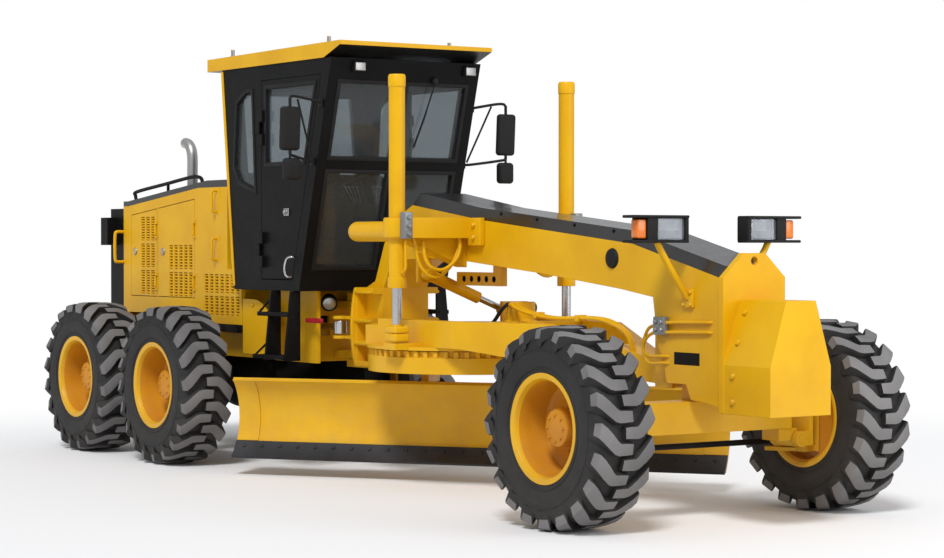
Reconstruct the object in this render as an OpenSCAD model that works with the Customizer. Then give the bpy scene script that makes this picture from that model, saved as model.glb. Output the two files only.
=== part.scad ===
// Motor grader of about 180 horsepower: a rear frame with engine hood, cab and tandem wheels,
// a front frame hinged to it, and a drawbar, circle and blade hung below the front frame.
// Millimetres, X forward, Y left, Z up, origin on the ground below the middle of the outer box.

/* [Wheels] */
// Tyre diameter out to the lugs' tips
tyre_d = 1300; // [1200:1:1400]
// Tyre width
tyre_w = 445; // [380:1:500]
// Distance between the middles of the left and right tyres
wheel_track = 2155; // [2000:1:2300]
// Diameter of the rim's bead seat
rim_seat_d = 635; // [560:1:680]
// Width of the rim over its flanges
rim_w = 400; // [340:1:440]

/* [Chassis] */
// Front axle to the middle of the rear tandem
wheel_base = 6300; // [5900:1:6600]
// Distance between the two wheels of a tandem
tandem_pitch = 1530; // [1450:1:1650]
// Front axle to the counterweight's front face
front_overhang = 990; // [850:1:1100]
// Middle of the tandem to the rear tow eye
rear_overhang = 1550; // [1450:1:1650]
// Middle of the tandem to the frame's hinge
hinge_ahead = 2020; // [1950:1:2060]
// Width of the front frame's beam
beam_w = 400; // [340:1:440]

/* [Cab] */
// Width of the cab over its walls
cab_w = 1380; // [1300:1:1420]
// Thickness of a cab wall or door
cab_wall = 50; // [40:1:60]
// Height of the cab roof's top above the ground
roof_top = 3370; // [3320:1:3420]

/* [Hood] */
// Width of the engine hood
hood_w = 1200; // [1100:1:1260]
// Thickness of the hood's sides and doors
hood_wall = 40; // [30:1:50]

/* [Blade] */
// Length of the blade
blade_l = 3965; // [3600:1:4000]
// Radius of the blade's curve, at its front face
blade_r = 430; // [400:1:470]
// Angle of the blade from straight across, its left end forward
blade_angle = 54; // [30:0.1:60]
// Outer diameter of the circle's ring
circle_d = 1520; // [1440:1:1560]

/* [Hidden] */
// Fit between parts that touch round faces, and room between parts that move
fit = 0.3;
room = 6;
// Overrun of cuts
over = 20;
$fn = 64;

// Main stations
total_l = front_overhang + wheel_base + rear_overhang;
x_rear = rear_overhang - total_l / 2;
x_front = x_rear + wheel_base;
x_hinge = x_rear + hinge_ahead;
axle_z = tyre_d / 2;
wheel_y = wheel_track / 2;
beam_y = beam_w / 2;
cab_y = cab_w / 2;
hood_y = hood_w / 2;

// Tyre and rim
rim_flange_h = 36;
rim_flange_t = 14;
rim_t = 18;
disc_in = 95;
disc_t = 25;
spindle_r = 60;
hub_r = 125;
hub_l = 190;
hub_wall = 14;
bead_y = rim_w / 2 - rim_flange_t - fit;
tyre_side_shares = [[0.62, 0.95], [0.72, 1], [0.80, 0.99], [0.86, 0.97]];
tyre_n = 24;
lug_n = 20;
lug_h = 44;
lug_slant = 12;
lug_taper_share = 0.972;
lug_row_share = 0.93;
lug_tooth_shares = [[0, 1], [0.50, 1], [0.57, 0], [0.93, 0]];
tread_r = tyre_d / 2 - lug_h;

// Rear frame
rail_y = [330, 430];
rail_z = [860, 1060];
cheek_t = 30;
cheek_rear = 1370;
cheek_front = 2120;
floor_z = 1440;
wall_x = 1740;
wall_t = 40;
slot_y = [180, 420];
slot_z = [1070, 1230];
tongue_r = 140;
tongue_low_z = [890, 950];
tongue_high_z = [1290, 1350];
hinge_pin_r = 45;
hinge_pin_z = [820, 1418];
rail_end = 1460;
cross_t = 50;
tow_w = 160;
tow_z = [935, 985];
tow_bore_r = 20;
tow_bore_in = 44;
outrigger_x = [-1150, -560, 250];
outrigger_l = 60;
outrigger_t = 40;

// Axle and tandem cases
axle_r = 170;
diff_r = 270;
saddle_l = 300;
case_y = [640, 830];
case_r = 205;
case_boss_r = 110;
case_boss_t = 60;

// Engine block
engine_x = [930, -570];
engine_y = 380;
engine_top = 1950;

// Hood
hood_back = 1200;
hood_front = 800;
hood_low = 1200;
hood_rear_top = 2150;
hood_front_top = 2290;
hood_knee_rear = 1110;
hood_knee_front = 270;
hood_cap_t = 45;
hood_cap_rise = 60;
hood_cap_step = 430;
hood_door_low = 1345;
hood_door_down = 85;
grille_x = [[-837, -570], [-278, 159], [390, 1010]];
grille_z = [[1370, 2050], [1360, 1800], [1215, 1555]];
grille_n = [[3, 3], [5, 2], [7, 2]];
grille_bar = 30;
hood_door_x = [[-1043, -525], [-505, 205]];
hood_lock_z = 1745;
hood_door_lock_r = 28;
hood_door_lock_h = 8;
hood_skirt_x = [360, 1050];
hood_skirt_z = [1140, 1600];
hood_hinge_r = 12;
hood_pin_r = 6;
hood_lug_l = 24;
hood_hinge_z = [1435, 1890];

// Tail frame
tail_back = 1470;
tail_top = 2130;
tail_y = 600;
tail_wall = 60;
tail_bar_h = 24;
tail_bar_n = 9;
tail_lamp_y = [600, 700];
tail_lamp_z = [1800, 2050];
tail_lamp_x = [1330, 1470];

// Exhaust pipe
pipe_x = -560;
pipe_y = -230;
pipe_r = 47;
pipe_wall = 5;
pipe_bend_r = 95;
pipe_top = 2600;
pipe_tail = 60;

// Cab
cab_rear_low = 1090;
cab_rear_high = 880;
cab_front_low = 2170;
cab_front_high = 2680;
cab_low = 1440;
cab_high = 3250;
cab_floor_t = 60;
door_rear = 1560;
door_low = 1525;
door_high = 3130;
door_front_in = 125;
door_gap = 6;
window_low = 2450;
window_high = 3070;
post_w = 70;
quarter_points = [[1094, 2444], [1177, 2316], [1462, 2232], [1409, 3060], [1295, 3055], [1139, 2969]];
screen_band_z = [[1620, 2380], [2480, 3070]];
screen_y = [30, 590];
rear_window_z = [2400, 3050];
rear_window_y = 520;
pane_t = 8;
roof_back = 640;
stub_x = [830, 2420];
stub_y = 560;
stub_r = 15;
stub_h = 62;
roof_front = 2825;
roof_y = 700;
roof_nose_t = 34;
roof_nose_l = 250;
hinge_out = 18;
hinge_r = 16;
door_pin_r = 9;
hinge_z = [1720, 2700];
hinge_l = 90;

// Seat and console
seat_x = [1330, 1800];
seat_w = 480;
seat_z = [1500, 1680, 1850];
seat_back_t = 130;
seat_back_top = 2480;
seat_base_w = 320;
console_x = [2010, 2130];
console_w = 260;
console_top = 2150;
wheel_ring_r = 190;
wheel_tube_r = 16;
column_r = 30;
column_l = 130;

// Steps, rails and mirrors
step_x = [1610, 2110];
step_y = [640, 690];
step_t = 34;
step_low = 885;
tread_z = [930, 1270];
tread_out = [800, 760];
rail_r = 16;
rail_x = [-1030, 270];
rail_up = 66;
rail_post_share = 0.8;
rail_in = 40;
mirror_x = 2582;
mirror_y = 1000;
mirror_z = [2530, 2860];
mirror_size = [60, 160];
mirror_arm_r = 12;
mirror_post_r = 16;
mirror_pad = 26;
mirror_pad_t = 30;
mirror_arm_z = [2450, 2900];

// Front frame
hitch_x = [350, 630];
hitch_y = 300;
hitch_z = [850, 1470];
rib_t = 40;
rib_in = 90;
rib_z = [[890, 1010], [1050, 1190], [1230, 1420]];
ear_low_z = [824, 884];
ear_high_z = [1356, 1416];
goose_points = [[370, 1470], [500, 1520], [640, 1820], [910, 2050], [1050, 2110]];
beam_top_points = [[1975, 1990], [3807, 1815]];
beam_low_points = [[3668, 1511], [2758, 1604], [1740, 1689], [1270, 1705], [910, 1690], [700, 1600],
    [630, 1470]];
nose_in = 45;
nose_top = 1572;
nose_points = [[290, 790], [150, 800], [100, 900], [-100, 900], [-150, 1080], [-190, 1120], [-250, 1462]];
plate_y = 258;
plate_z = [740, 1600, 1756];
plate_top_y = 90;
eye_z = 1705;
eye_r = 28;
ball_back = 230;
ball_z = 930;
ball_r = 38;
ball_cheek_y = [95, 125];
ball_cheek_x = 90;
ball_cheek_low = 860;
lock_x = [1400, 2000];
lock_y = 25;
lock_z = [1500, 1600];
lock_hole_r = 24;
lock_hole_n = 5;
lock_foot_l = 110;
shift_pin = [1330, -230, 1580];
shift_pin_r = 28;
shift_lug_t = 30;
shift_lug_w = 60;
art_pin = [150, 310, 1150];
art_lug_z = [[1060, 1085], [1215, 1240]];
art_lug_r = 60;

// Black cover on the beam
cover_h = 90;
cover_slope = 120;

// Counterweight
weight_reach = 445;
weight_low = 736;
weight_mid = 1046;
weight_high = 1459;
weight_y = 250;
weight_top_y = 122;

// Head lamps
lamp_back = -134;
lamp_size = [130, 464, 180];
lamp_y = 478;
lamp_z = 1910;
lamp_stalk_w = 44;
lamp_foot_z = 1400;

// Lift saddle and cylinders
lift_x = 1727;
lift_y = 763;
barrel_r = 60;
barrel_z = [1490, 3050];
rod_r = 35;
rod_z = [1155, 2200];
rod_ball_r = 58;
barrel_bore_top = 2900;
yoke_r = 95;
yoke_z = [1855, 2005];
arm_x = [1650, 1800];
strap_x = [1890, 2030];
strap_t = 35;
gusset_low = 1640;
tank_r = 75;
tank_l = 560;
tank_y = 700;
tank_z = 1905;

// Front axle, lean brackets and knuckles
axle_beam_x = 95;
axle_beam_y = 715;
axle_beam_z = [575, 785];
lean_y = 770;
lean_z = 500;
lean_r = 54;
lean_pin_r = 30;
boss_x = 85;
fork_x = [92, 140];
web_y = [838, 866];
web_z = [456, 780];
king_y = 900;
king_r = 32;
sleeve_r = 55;
sleeve_z = [452, 798];
yoke_low_z = [405, 446];
yoke_high_z = [804, 845];
king_plate_y = [962, 972];
king_plate_x = 80;
steer_arm_back = 190;
steer_arm_z = [405, 432];
steer_arm_r = 38;
tie_z = 468;
tie_r = 20;
tie_y = 745;
bar_t = 25;
bar_z = [680, 720];
bar_y = 800;
ear_back = 160;
ear_z = [560, 735];
ear_y = [740, 846];

// Drawbar
draw_eye_r = 75;
draw_eye_y = 90;
draw_side_points = [[870, 1060], [2250, 1060], [4050, 860], [4050, 1000], [2950, 1255], [1250, 1255],
    [1250, 1205], [870, 1205]];
draw_plan_points = [[4050, 60], [3860, 66], [2200, 600], [1080, 640], [880, 420]];
draw_hole_points = [[3500, 70], [2420, 400], [2420, 0]];
draw_tray_points = [[2380, 420], [2200, 490], [1150, 530], [1000, 340]];
draw_tray_z = 1090;
flange_z = [1036, 1062];
flange_out = 10;
draw_lug_x = [1645, 1810];
draw_lug_y = [560, 830];
draw_lug_z = [1040, 1090];
motor_x = 2215;
motor_r = 105;
motor_z = [1070, 1390];
shoe_r = 60;
shoe_at = 480;
shift_eye = [1330, 440, 1310];
shift_eye_lug = [62, 92];

// Circle and its arms, in the circle's own frame, blade along Y
circle_x = 1530;
circle_in_r = 600;
circle_z = [865, 1030];
tooth_n = 60;
tooth_h = 22;
tooth_z = 985;
tooth_shares = [[0, 1], [0.42, 1], [0.5, 0], [0.92, 0]];
arm_y = [450, 510];
arm_back = [-430, -310];
tilt_x = -370;
tilt_z = 430;
tilt_r = 34;
tilt_eye_r = 62;

// Tilt bracket
bracket_y = [530, 600];
bracket_z = [280, 640];
jaw_x = -226;
jaw_high_z = [598, 640];
jaw_low_z = [280, 322];
tilt_tube_y = 600;

// Mouldboard, in the circle's own frame
board_t = 18;
board_back = -140;
board_mid_z = 455;
board_a = 44;
board_side = 0;
slide_x = [-250, -145];
bracket_x = [-420, slide_x[0] - fit];
slide_high_z = [545, 590];
slide_low_z = [330, 375];
slide_y = 1150;
edge_a = [-48, -27];
edge_t = 20;

// Shift cylinder and articulation cylinders
shift_r = 45;
shift_rod_r = 25;
shift_barrel_l = 480;
shift_eye_r = 44;
art_rear = [870, 300, 1150];
art_r = 55;
art_rod_r = 30;
art_barrel_l = 700;
art_eye_r = 64;
art_eye_h = 100;
art_rod_eye_r = 56;

yellow = [0.93, 0.70, 0.08];
black = [0.10, 0.10, 0.11];
steel = [0.75, 0.76, 0.78];
rubber = [0.07, 0.07, 0.07];
clear = [0.55, 0.65, 0.68, 0.4];

// A box between two corners, given as ranges along X, Y and Z
module box(x, y, z) {
    translate([min(x), min(y), min(z)])
        cube([max(x) - min(x), max(y) - min(y), max(z) - min(z)]);
}

// Rods along X, Y and Z between two stations
module xrod(x, y, z, r) {
    translate([min(x), y, z]) rotate([0, 90, 0]) cylinder(r = r, h = max(x) - min(x));
}
module yrod(x, y, z, r) {
    translate([x, max(y), z]) rotate([90, 0, 0]) cylinder(r = r, h = max(y) - min(y));
}
module zrod(x, y, z, r) {
    translate([x, y, min(z)]) cylinder(r = r, h = max(z) - min(z));
}

// A rod from point p to point q
module rod(p, q, r) {
    v = q - p;
    translate(p) rotate([0, acos(v[2] / norm(v)), atan2(v[1], v[0])]) cylinder(r = r, h = norm(v));
}

// An outline in X and Z, extruded across a range of Y
module side_plate(points, y) {
    translate([0, max(y), 0]) rotate([90, 0, 0]) linear_extrude(max(y) - min(y)) polygon(points);
}

// An outline in Y and Z, extruded along a range of X
module cross_plate(points, x) {
    translate([min(x), 0, 0]) rotate([90, 0, 90]) linear_extrude(max(x) - min(x)) polygon(points);
}

module both_sides() {
    children();
    mirror([0, 1, 0]) children();
}

// Ranges measured from the tandem's middle
function at_rear(x) = [for (v = x) x_rear + v];
function rear_points(points) = [for (p = points) [x_rear + p[0], p[1]]];
function flip_y(points) = [for (i = [len(points) - 1 : -1 : 0]) [-points[i][0], points[i][1]]];
function mirror_plan(points) = concat(points, [for (i = [len(points) - 1 : -1 : 0]) [points[i][0],
    -points[i][1]]]);
// An outline with each point moved in towards its middle by d
function middle(points) = [for (k = [0, 1]) [for (p = points) 1] * [for (p = points) p[k]] / len(points)];
function drawn_in(points, d) = [for (p = points) p + d * (middle(points) - p) / norm(middle(points) - p)];
// Front edge of the cab at height z
function cab_front(z) = x_rear + cab_front_low
    + (cab_front_high - cab_front_low) * (z - cab_low) / (cab_high - cab_low);
function cab_rear(z) = x_rear + cab_rear_low
    + (cab_rear_high - cab_rear_low) * (z - cab_low) / (cab_high - cab_low);
// Back of the counterweight, and front face of the nose plate
x_plate = x_front + front_overhang - weight_reach;
nose_slope = (nose_top - beam_top_points[1][1]) / (x_plate - x_hinge - beam_top_points[1][0]);
beam_end = [x_plate - nose_in, nose_top - nose_in * nose_slope];

// Rear frame: two rails, hinge tongue, cheeks below the cab and the tow eye
module rear_frame() color(yellow) difference() {
    union() {
        both_sides() {
            box(at_rear([-rail_end, wall_x]), rail_y, rail_z);
            box(at_rear([cheek_rear, cheek_front - 2 * cheek_t]), [rail_y[1], rail_y[1] + cheek_t],
                [rail_z[0], floor_z]);
        }
        box(at_rear([-rail_end, cross_t - rail_end]), [-rail_y[1], rail_y[1]], rail_z);
        box(at_rear([wall_x, wall_x + wall_t]), [-rail_y[1], rail_y[1]], [rail_z[0], floor_z]);
        box([-total_l / 2, x_rear - rail_end], [-tow_w / 2, tow_w / 2], tow_z);
        for (z = [tongue_low_z, tongue_high_z]) {
            zrod(x_hinge, 0, z, tongue_r);
            box([x_rear + wall_x, x_hinge], [-tongue_r, tongue_r], z);
        }
        zrod(x_hinge, 0, [hinge_pin_z[0], tongue_low_z[1]], hinge_pin_r);
        zrod(x_hinge, 0, [tongue_high_z[0], hinge_pin_z[1]], hinge_pin_r);
        both_sides() for (x = outrigger_x) {
            box(at_rear([x, x + outrigger_l]), [rail_y[1], hood_y], [hood_low - outrigger_t, hood_low]);
            box(at_rear([x, x + outrigger_l]), [rail_y[1], rail_y[1] + cheek_t], [rail_z[0], hood_low]);
        }
        both_sides() {
            translate([x_rear + art_rear[0], art_rear[1], rail_z[1]])
                cylinder(r = art_eye_r, h = art_rear[2] - art_r - fit - rail_z[1]);
        }
    }
    both_sides() box(at_rear([wall_x - over, wall_x + wall_t + over]), slot_y, slot_z);
    zrod(tow_bore_in - total_l / 2, 0, [tow_z[0] - over, tow_z[1] + over], tow_bore_r);
}

// Engine: one plain block on the rails
module engine() color(black)
    box(at_rear([-engine_x[0], -engine_x[1]]), [-engine_y, engine_y], [rail_z[1], engine_top]);

// Rear axle: tube with the differential in its middle and saddles under the rails
module rear_axle() color(black) {
    yrod(x_rear, [-case_y[0], case_y[0]], axle_z, axle_r);
    intersection() {
        translate([x_rear, 0, axle_z]) sphere(r = diff_r);
        box([x_rear - diff_r, x_rear + diff_r], [-diff_r, diff_r], [axle_z - diff_r, rail_z[0]]);
    }
    both_sides() box([x_rear - saddle_l / 2, x_rear + saddle_l / 2], rail_y, [axle_z, rail_z[0]]);
}

// Tandem cases: chain boxes with rounded ends and a stub axle for each wheel
module tandem_cases() color(black) both_sides() {
    box([x_rear - tandem_pitch / 2, x_rear + tandem_pitch / 2], case_y, [axle_z - case_r, axle_z + case_r]);
    for (s = [-1, 1]) {
        yrod(x_rear + s * tandem_pitch / 2, case_y, axle_z, case_r);
        yrod(x_rear + s * tandem_pitch / 2, [case_y[1], case_y[1] + case_boss_t], axle_z, case_boss_r);
        yrod(x_rear + s * tandem_pitch / 2, [case_y[1], wheel_y - disc_in + hub_l - hub_wall - room],
            axle_z, spindle_r);
    }
}

// Outline of the hood's side
hood_outline = rear_points([[-hood_back, hood_low], [hood_front, hood_low], [hood_front, hood_front_top],
    [hood_knee_front, hood_front_top], [-hood_knee_rear, hood_rear_top], [-hood_back, hood_rear_top]]);

// Outline of a hood door between two stations, its top below the hood's sloping edge
function hood_edge(x) = hood_rear_top + (hood_front_top - hood_rear_top)
    * (x + hood_knee_rear) / (hood_knee_front + hood_knee_rear);
function hood_door_outline(x, gap) = rear_points([[x[0] + gap, hood_door_low + gap], [x[1] - gap,
    hood_door_low + gap],
    [x[1] - gap, hood_edge(x[1] - gap) - hood_door_down - gap],
    [x[0] + gap, hood_edge(x[0] + gap) - hood_door_down - gap]]);

// Columns and rows of air slots through a hood panel
module grille(i) {
    w = (grille_x[i][1] - grille_x[i][0] + grille_bar) / grille_n[i][0];
    h = (grille_z[i][1] - grille_z[i][0] + grille_bar) / grille_n[i][1];
    for (c = [0 : grille_n[i][0] - 1]) for (r = [0 : grille_n[i][1] - 1])
        box(at_rear([0, w - grille_bar] + (grille_x[i][0] + c * w) * [1, 1]),
            [hood_y - hood_wall - over, hood_y + over],
            [0, h - grille_bar] + (grille_z[i][0] + r * h) * [1, 1]);
}

// Hood: fixed sides round the doors, the panel ahead of them, the skirt and the front wall
module hood() color(yellow) {
    both_sides() difference() {
        union() {
            side_plate(hood_outline, [hood_y - hood_wall, hood_y]);
            box(at_rear(hood_skirt_x), [hood_y - hood_wall, hood_y], hood_skirt_z);
        }
        for (x = hood_door_x)
            side_plate(hood_door_outline(x, 0), [hood_y - hood_wall - over, hood_y + over]);
        grille(2);
    }
    box(at_rear([hood_front - hood_wall, hood_front]), [hood_wall - hood_y, hood_y - hood_wall],
        [hood_low, hood_front_top]);
    both_sides() for (x = hood_door_x) for (z = hood_hinge_z) {
        zrod(x_rear + x[1] - room - hood_hinge_r, hood_y + hood_hinge_r / 2,
            [z - room - hood_lug_l, z + hinge_l + room + hood_lug_l], hood_pin_r);
        for (low = [z - room - hood_lug_l, z + hinge_l + room])
            box([x_rear + x[1] - room - hood_hinge_r, x_rear + x[1] + 3 * hood_hinge_r / 2],
                [hood_y, hood_y + hood_hinge_r], [low, low + hood_lug_l]);
    }
}

// Black top cover of the hood, stepped up near the cab
module hood_top() color(black) difference() {
    side_plate(rear_points([[-hood_back, hood_rear_top], [-hood_knee_rear, hood_rear_top],
        [hood_knee_front, hood_front_top], [hood_front, hood_front_top],
        [hood_front, hood_front_top + hood_cap_rise], [hood_cap_step, hood_front_top + hood_cap_rise],
        [hood_knee_front, hood_front_top + hood_cap_t], [-hood_knee_rear, hood_rear_top + hood_cap_t],
        [-hood_back, hood_rear_top + hood_cap_t]]), [-hood_y, hood_y]);
    zrod(x_rear + pipe_x, pipe_y, [hood_rear_top, hood_front_top + hood_cap_rise + over], pipe_r + room);
}

// Rear grille frame behind the hood, with the tail lamps' boxes
module tail_frame() color(black) {
    difference() {
        box(at_rear([-tail_back, -hood_back]), [-tail_y, tail_y], [rail_z[1], tail_top]);
        box(at_rear([-tail_back - over, -hood_back - tail_wall]), [tail_wall - tail_y, tail_y - tail_wall],
            [rail_z[1] + tail_wall, tail_top - tail_wall]);
    }
    tail_pitch = (tail_top - rail_z[1] - 2 * tail_wall) / (tail_bar_n + 1);
    for (i = [1 : tail_bar_n])
        translate([0, 0, rail_z[1] + tail_wall + i * tail_pitch])
            box(at_rear([-tail_back, -hood_back - tail_wall]), [tail_wall - tail_y, tail_y - tail_wall],
                [-tail_bar_h / 2, tail_bar_h / 2]);
    both_sides() box(at_rear([-tail_lamp_x[1], -tail_lamp_x[0]]), tail_lamp_y, tail_lamp_z);
}

// Exhaust: a pipe up from the engine with its end bent rearward
module exhaust() color(steel) {
    px = x_rear + pipe_x;
    zrod(px, pipe_y, [engine_top, pipe_top], pipe_r);
    translate([px - pipe_bend_r, pipe_y, pipe_top]) rotate([90, 0, 0])
        rotate_extrude(angle = 90) translate([pipe_bend_r, 0]) circle(r = pipe_r);
    difference() {
        xrod([px - pipe_bend_r - pipe_tail, px - pipe_bend_r], pipe_y, pipe_top + pipe_bend_r, pipe_r);
        xrod([px - pipe_bend_r - pipe_tail - over, px - pipe_bend_r - pipe_wall], pipe_y,
            pipe_top + pipe_bend_r,
            pipe_r - pipe_wall);
    }
}

// Outlines of the door and of its window, in X and Z
function door_outline(gap) = [[x_rear + door_rear + gap, door_low + gap],
    [cab_front(door_low + gap) - door_front_in - gap, door_low + gap],
    [cab_front(door_high - gap) - door_front_in - gap, door_high - gap],
    [x_rear + door_rear + gap, door_high - gap]];
function door_window(gap) = [[x_rear + door_rear + post_w + gap, window_low + gap],
    [cab_front(window_low) - door_front_in - post_w - gap, window_low + gap],
    [cab_front(window_high) - door_front_in - post_w - gap, window_high - gap],
    [x_rear + door_rear + post_w + gap, window_high - gap]];

// Cab: floor, side walls with door openings and rear quarter windows, windscreen wall and rear wall
module cab_frame() color(black) {
    box([cab_rear(cab_low), cab_front(cab_low) - cab_wall / 2], [cab_wall - cab_y, cab_y - cab_wall],
        [cab_low, cab_low + cab_floor_t]);
    both_sides() difference() {
        side_plate([[cab_rear(cab_low), cab_low], [cab_front(cab_low), cab_low],
            [cab_front(cab_high), cab_high], [cab_rear(cab_high), cab_high]], [cab_y - cab_wall, cab_y]);
        side_plate(door_outline(0), [cab_y - cab_wall - over, cab_y + over]);
        side_plate(rear_points(quarter_points), [cab_y - cab_wall - over, cab_y + over]);
    }
    difference() {
        side_plate([[cab_front(cab_low) - cab_wall, cab_low], [cab_front(cab_low), cab_low],
            [cab_front(cab_high), cab_high], [cab_front(cab_high) - cab_wall, cab_high]],
            [cab_wall - cab_y, cab_y - cab_wall]);
        both_sides() for (z = screen_band_z)
            box([cab_front(z[0]) - cab_wall - over, cab_front(z[1]) + over], screen_y, z);
    }
    difference() {
        side_plate([[cab_rear(cab_low), cab_low], [cab_rear(cab_low) + cab_wall, cab_low],
            [cab_rear(cab_high) + cab_wall, cab_high], [cab_rear(cab_high), cab_high]],
            [cab_wall - cab_y, cab_y - cab_wall]);
        box([cab_rear(cab_high) - over, cab_rear(cab_low) + cab_wall + over], [-rear_window_y, rear_window_y],
            rear_window_z);
    }
    both_sides() for (z = hinge_z) {
        zrod(x_rear + door_rear, cab_y + hinge_out, [z - hinge_l, z + 2 * hinge_l], door_pin_r);
        box([x_rear + door_rear - post_w, x_rear + door_rear], [cab_y, cab_y + hinge_out],
            [z, z + hinge_l]);
    }
}

// Roof slab, thin at its front edge and longer than the cab at the rear
module cab_roof() color(yellow) {
    side_plate([[x_rear + roof_back, cab_high], [x_rear + roof_front - roof_nose_l, cab_high],
        [x_rear + roof_front, roof_top - roof_nose_t], [x_rear + roof_front, roof_top],
        [x_rear + roof_back, roof_top - roof_nose_t / 2]], [-roof_y, roof_y]);
    both_sides() for (x = stub_x)
        zrod(x_rear + x, stub_y, [roof_top - roof_nose_t, roof_top + stub_h], stub_r);
}

// Fixed panes: windscreen, rear quarters and rear window
module cab_glass() color(clear) {
    both_sides() for (z = screen_band_z)
        side_plate([for (p = [[z[0] + fit, 1], [z[0] + fit, -1], [z[1] - fit, -1], [z[1] - fit, 1]])
            [cab_front(p[0]) - cab_wall / 2 + p[1] * pane_t / 2, p[0]]], screen_y + [fit, -fit]);
    both_sides() side_plate(rear_points(drawn_in(quarter_points, 2 * fit)),
        [cab_y - cab_wall / 2 - pane_t / 2, cab_y - cab_wall / 2 + pane_t / 2]);
    side_plate([for (p = [[rear_window_z[0] + fit, 1], [rear_window_z[0] + fit, -1],
        [rear_window_z[1] - fit, -1], [rear_window_z[1] - fit, 1]])
        [cab_rear(p[0]) + cab_wall / 2 + p[1] * pane_t / 2, p[0]]], [fit - rear_window_y,
            rear_window_y - fit]);
}

// Operator's seat on its base
module seat() color(black) {
    box(at_rear(seat_x), [-seat_base_w / 2, seat_base_w / 2], [seat_z[0], seat_z[1]]);
    box(at_rear(seat_x), [-seat_w / 2, seat_w / 2], [seat_z[1], seat_z[2]]);
    box(at_rear([seat_x[0], seat_x[0] + seat_back_t]), [-seat_w / 2, seat_w / 2], [seat_z[2], seat_back_top]);
}

// Console with steering column and wheel
module console() color(black) {
    box(at_rear(console_x), [-console_w / 2, console_w / 2], [seat_z[0], console_top]);
    translate([x_rear + console_x[0] + column_r, 0, console_top]) rotate([0, -30, 0]) {
        translate([0, 0, -column_r]) cylinder(r = column_r, h = column_l + column_r);
        translate([0, 0, column_l]) {
            rotate_extrude() translate([wheel_ring_r, 0]) circle(r = wheel_tube_r);
            for (a = [90, 210, 330]) rotate([0, 90, a]) cylinder(r = wheel_tube_r / 2, h = wheel_ring_r);
        }
    }
}

// Top of the hood's cover at x, measured from the tandem's middle
function hood_cap_z(x) = hood_rear_top + hood_cap_t + (hood_front_top - hood_rear_top)
    * (x + hood_knee_rear) / (hood_knee_front + hood_knee_rear);

// Steps below the cab doors and the rails on the hood
module steps_and_rails() color(black) both_sides() {
    for (x = [step_x[0], step_x[1] - step_t])
        box(at_rear([x, x + step_t]), step_y, [step_low, cab_low]);
    for (i = [0, 1])
        box(at_rear(step_x), [step_y[0], tread_out[i]], [tread_z[i] - step_t, tread_z[i]]);
    rod([x_rear + rail_x[0], hood_y - rail_in, hood_cap_z(rail_x[0]) + rail_up],
        [x_rear + rail_x[1], hood_y - rail_in, hood_cap_z(rail_x[1]) + rail_up], rail_r);
    for (x = [rail_x[0] + rail_in, (rail_x[0] + rail_x[1]) / 2, rail_x[1] - rail_in])
        zrod(x_rear + x, hood_y - rail_in, [hood_cap_z(x + rail_post_share * rail_r) + fit,
            hood_cap_z(x) + rail_up],
            rail_post_share * rail_r);
}

// Mirrors on tube brackets at the cab's front corners
module mirrors() color(black) both_sides() {
    mx = x_rear + mirror_x;
    box([mx - mirror_size[0] / 2, mx + mirror_size[0] / 2],
        [mirror_y - mirror_size[1] / 2, mirror_y + mirror_size[1] / 2], mirror_z);
    zrod(mx, mirror_y, mirror_arm_z + [-mirror_pad, mirror_pad], mirror_post_r);
    for (z = mirror_arm_z) {
        rod([cab_front(z) - cab_wall, cab_y + mirror_pad_t / 2, z], [mx, mirror_y, z], mirror_arm_r);
        box([cab_front(z) - cab_wall - mirror_pad, cab_front(z) - cab_wall + mirror_pad],
            [cab_y, cab_y + mirror_pad_t], [z - mirror_pad, z + mirror_pad]);
    }
}

// Cab doors, hinged at their rear edge
module cab_door() color(black) {
    difference() {
        side_plate(door_outline(door_gap), [cab_y - cab_wall, cab_y]);
        side_plate(door_window(0), [cab_y - cab_wall - over, cab_y + over]);
    }
    difference() {
        for (z = hinge_z) for (dz = [-hinge_l - room, hinge_l + room]) {
            box([x_rear + door_rear, x_rear + door_rear + post_w], [cab_y, cab_y + hinge_out + hinge_r],
                [z + dz, z + dz + hinge_l]);
            zrod(x_rear + door_rear, cab_y + hinge_out, [z + dz, z + dz + hinge_l], hinge_r);
        }
        box([x_rear + door_rear - 2 * hinge_r, x_rear + door_rear + door_gap], [cab_y - over,
            cab_y + hinge_out - hinge_r],
            hinge_z + [-2 * hinge_l, 3 * hinge_l]);
        for (z = hinge_z)
            zrod(x_rear + door_rear, cab_y + hinge_out, [z - 3 * hinge_l, z + 4 * hinge_l], door_pin_r + fit);
    }
}
module door_right() mirror([0, 1, 0]) cab_door();
module door_left() cab_door();
module door_pane() color(clear)
    side_plate(door_window(fit), [cab_y - cab_wall / 2 - pane_t / 2, cab_y - cab_wall / 2 + pane_t / 2]);
module door_glass_right() mirror([0, 1, 0]) door_pane();
module door_glass_left() door_pane();

// Hood doors, hinged at their front edge, with a round lock at the rear edge
module hood_door(i) color(yellow) {
    x = hood_door_x[i];
    difference() {
        union() {
            side_plate(hood_door_outline(x, room), [hood_y - hood_wall, hood_y]);
            yrod(x_rear + x[0] + 3 * hood_door_lock_r, [hood_y, hood_y + hood_door_lock_h],
                hood_lock_z, hood_door_lock_r);
            for (z = hood_hinge_z)
                zrod(x_rear + x[1] - room - hood_hinge_r, hood_y + hood_hinge_r / 2, [z, z + hinge_l],
                    hood_hinge_r);
        }
        for (z = hood_hinge_z)
            zrod(x_rear + x[1] - room - hood_hinge_r, hood_y + hood_hinge_r / 2, [z - over,
                z + hinge_l + over],
                hood_pin_r + fit);
        grille(i);
    }
}
module hood_door_rr() mirror([0, 1, 0]) hood_door(0);
module hood_door_rf() mirror([0, 1, 0]) hood_door(1);
module hood_door_lr() hood_door(0);
module hood_door_lf() hood_door(1);

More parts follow.
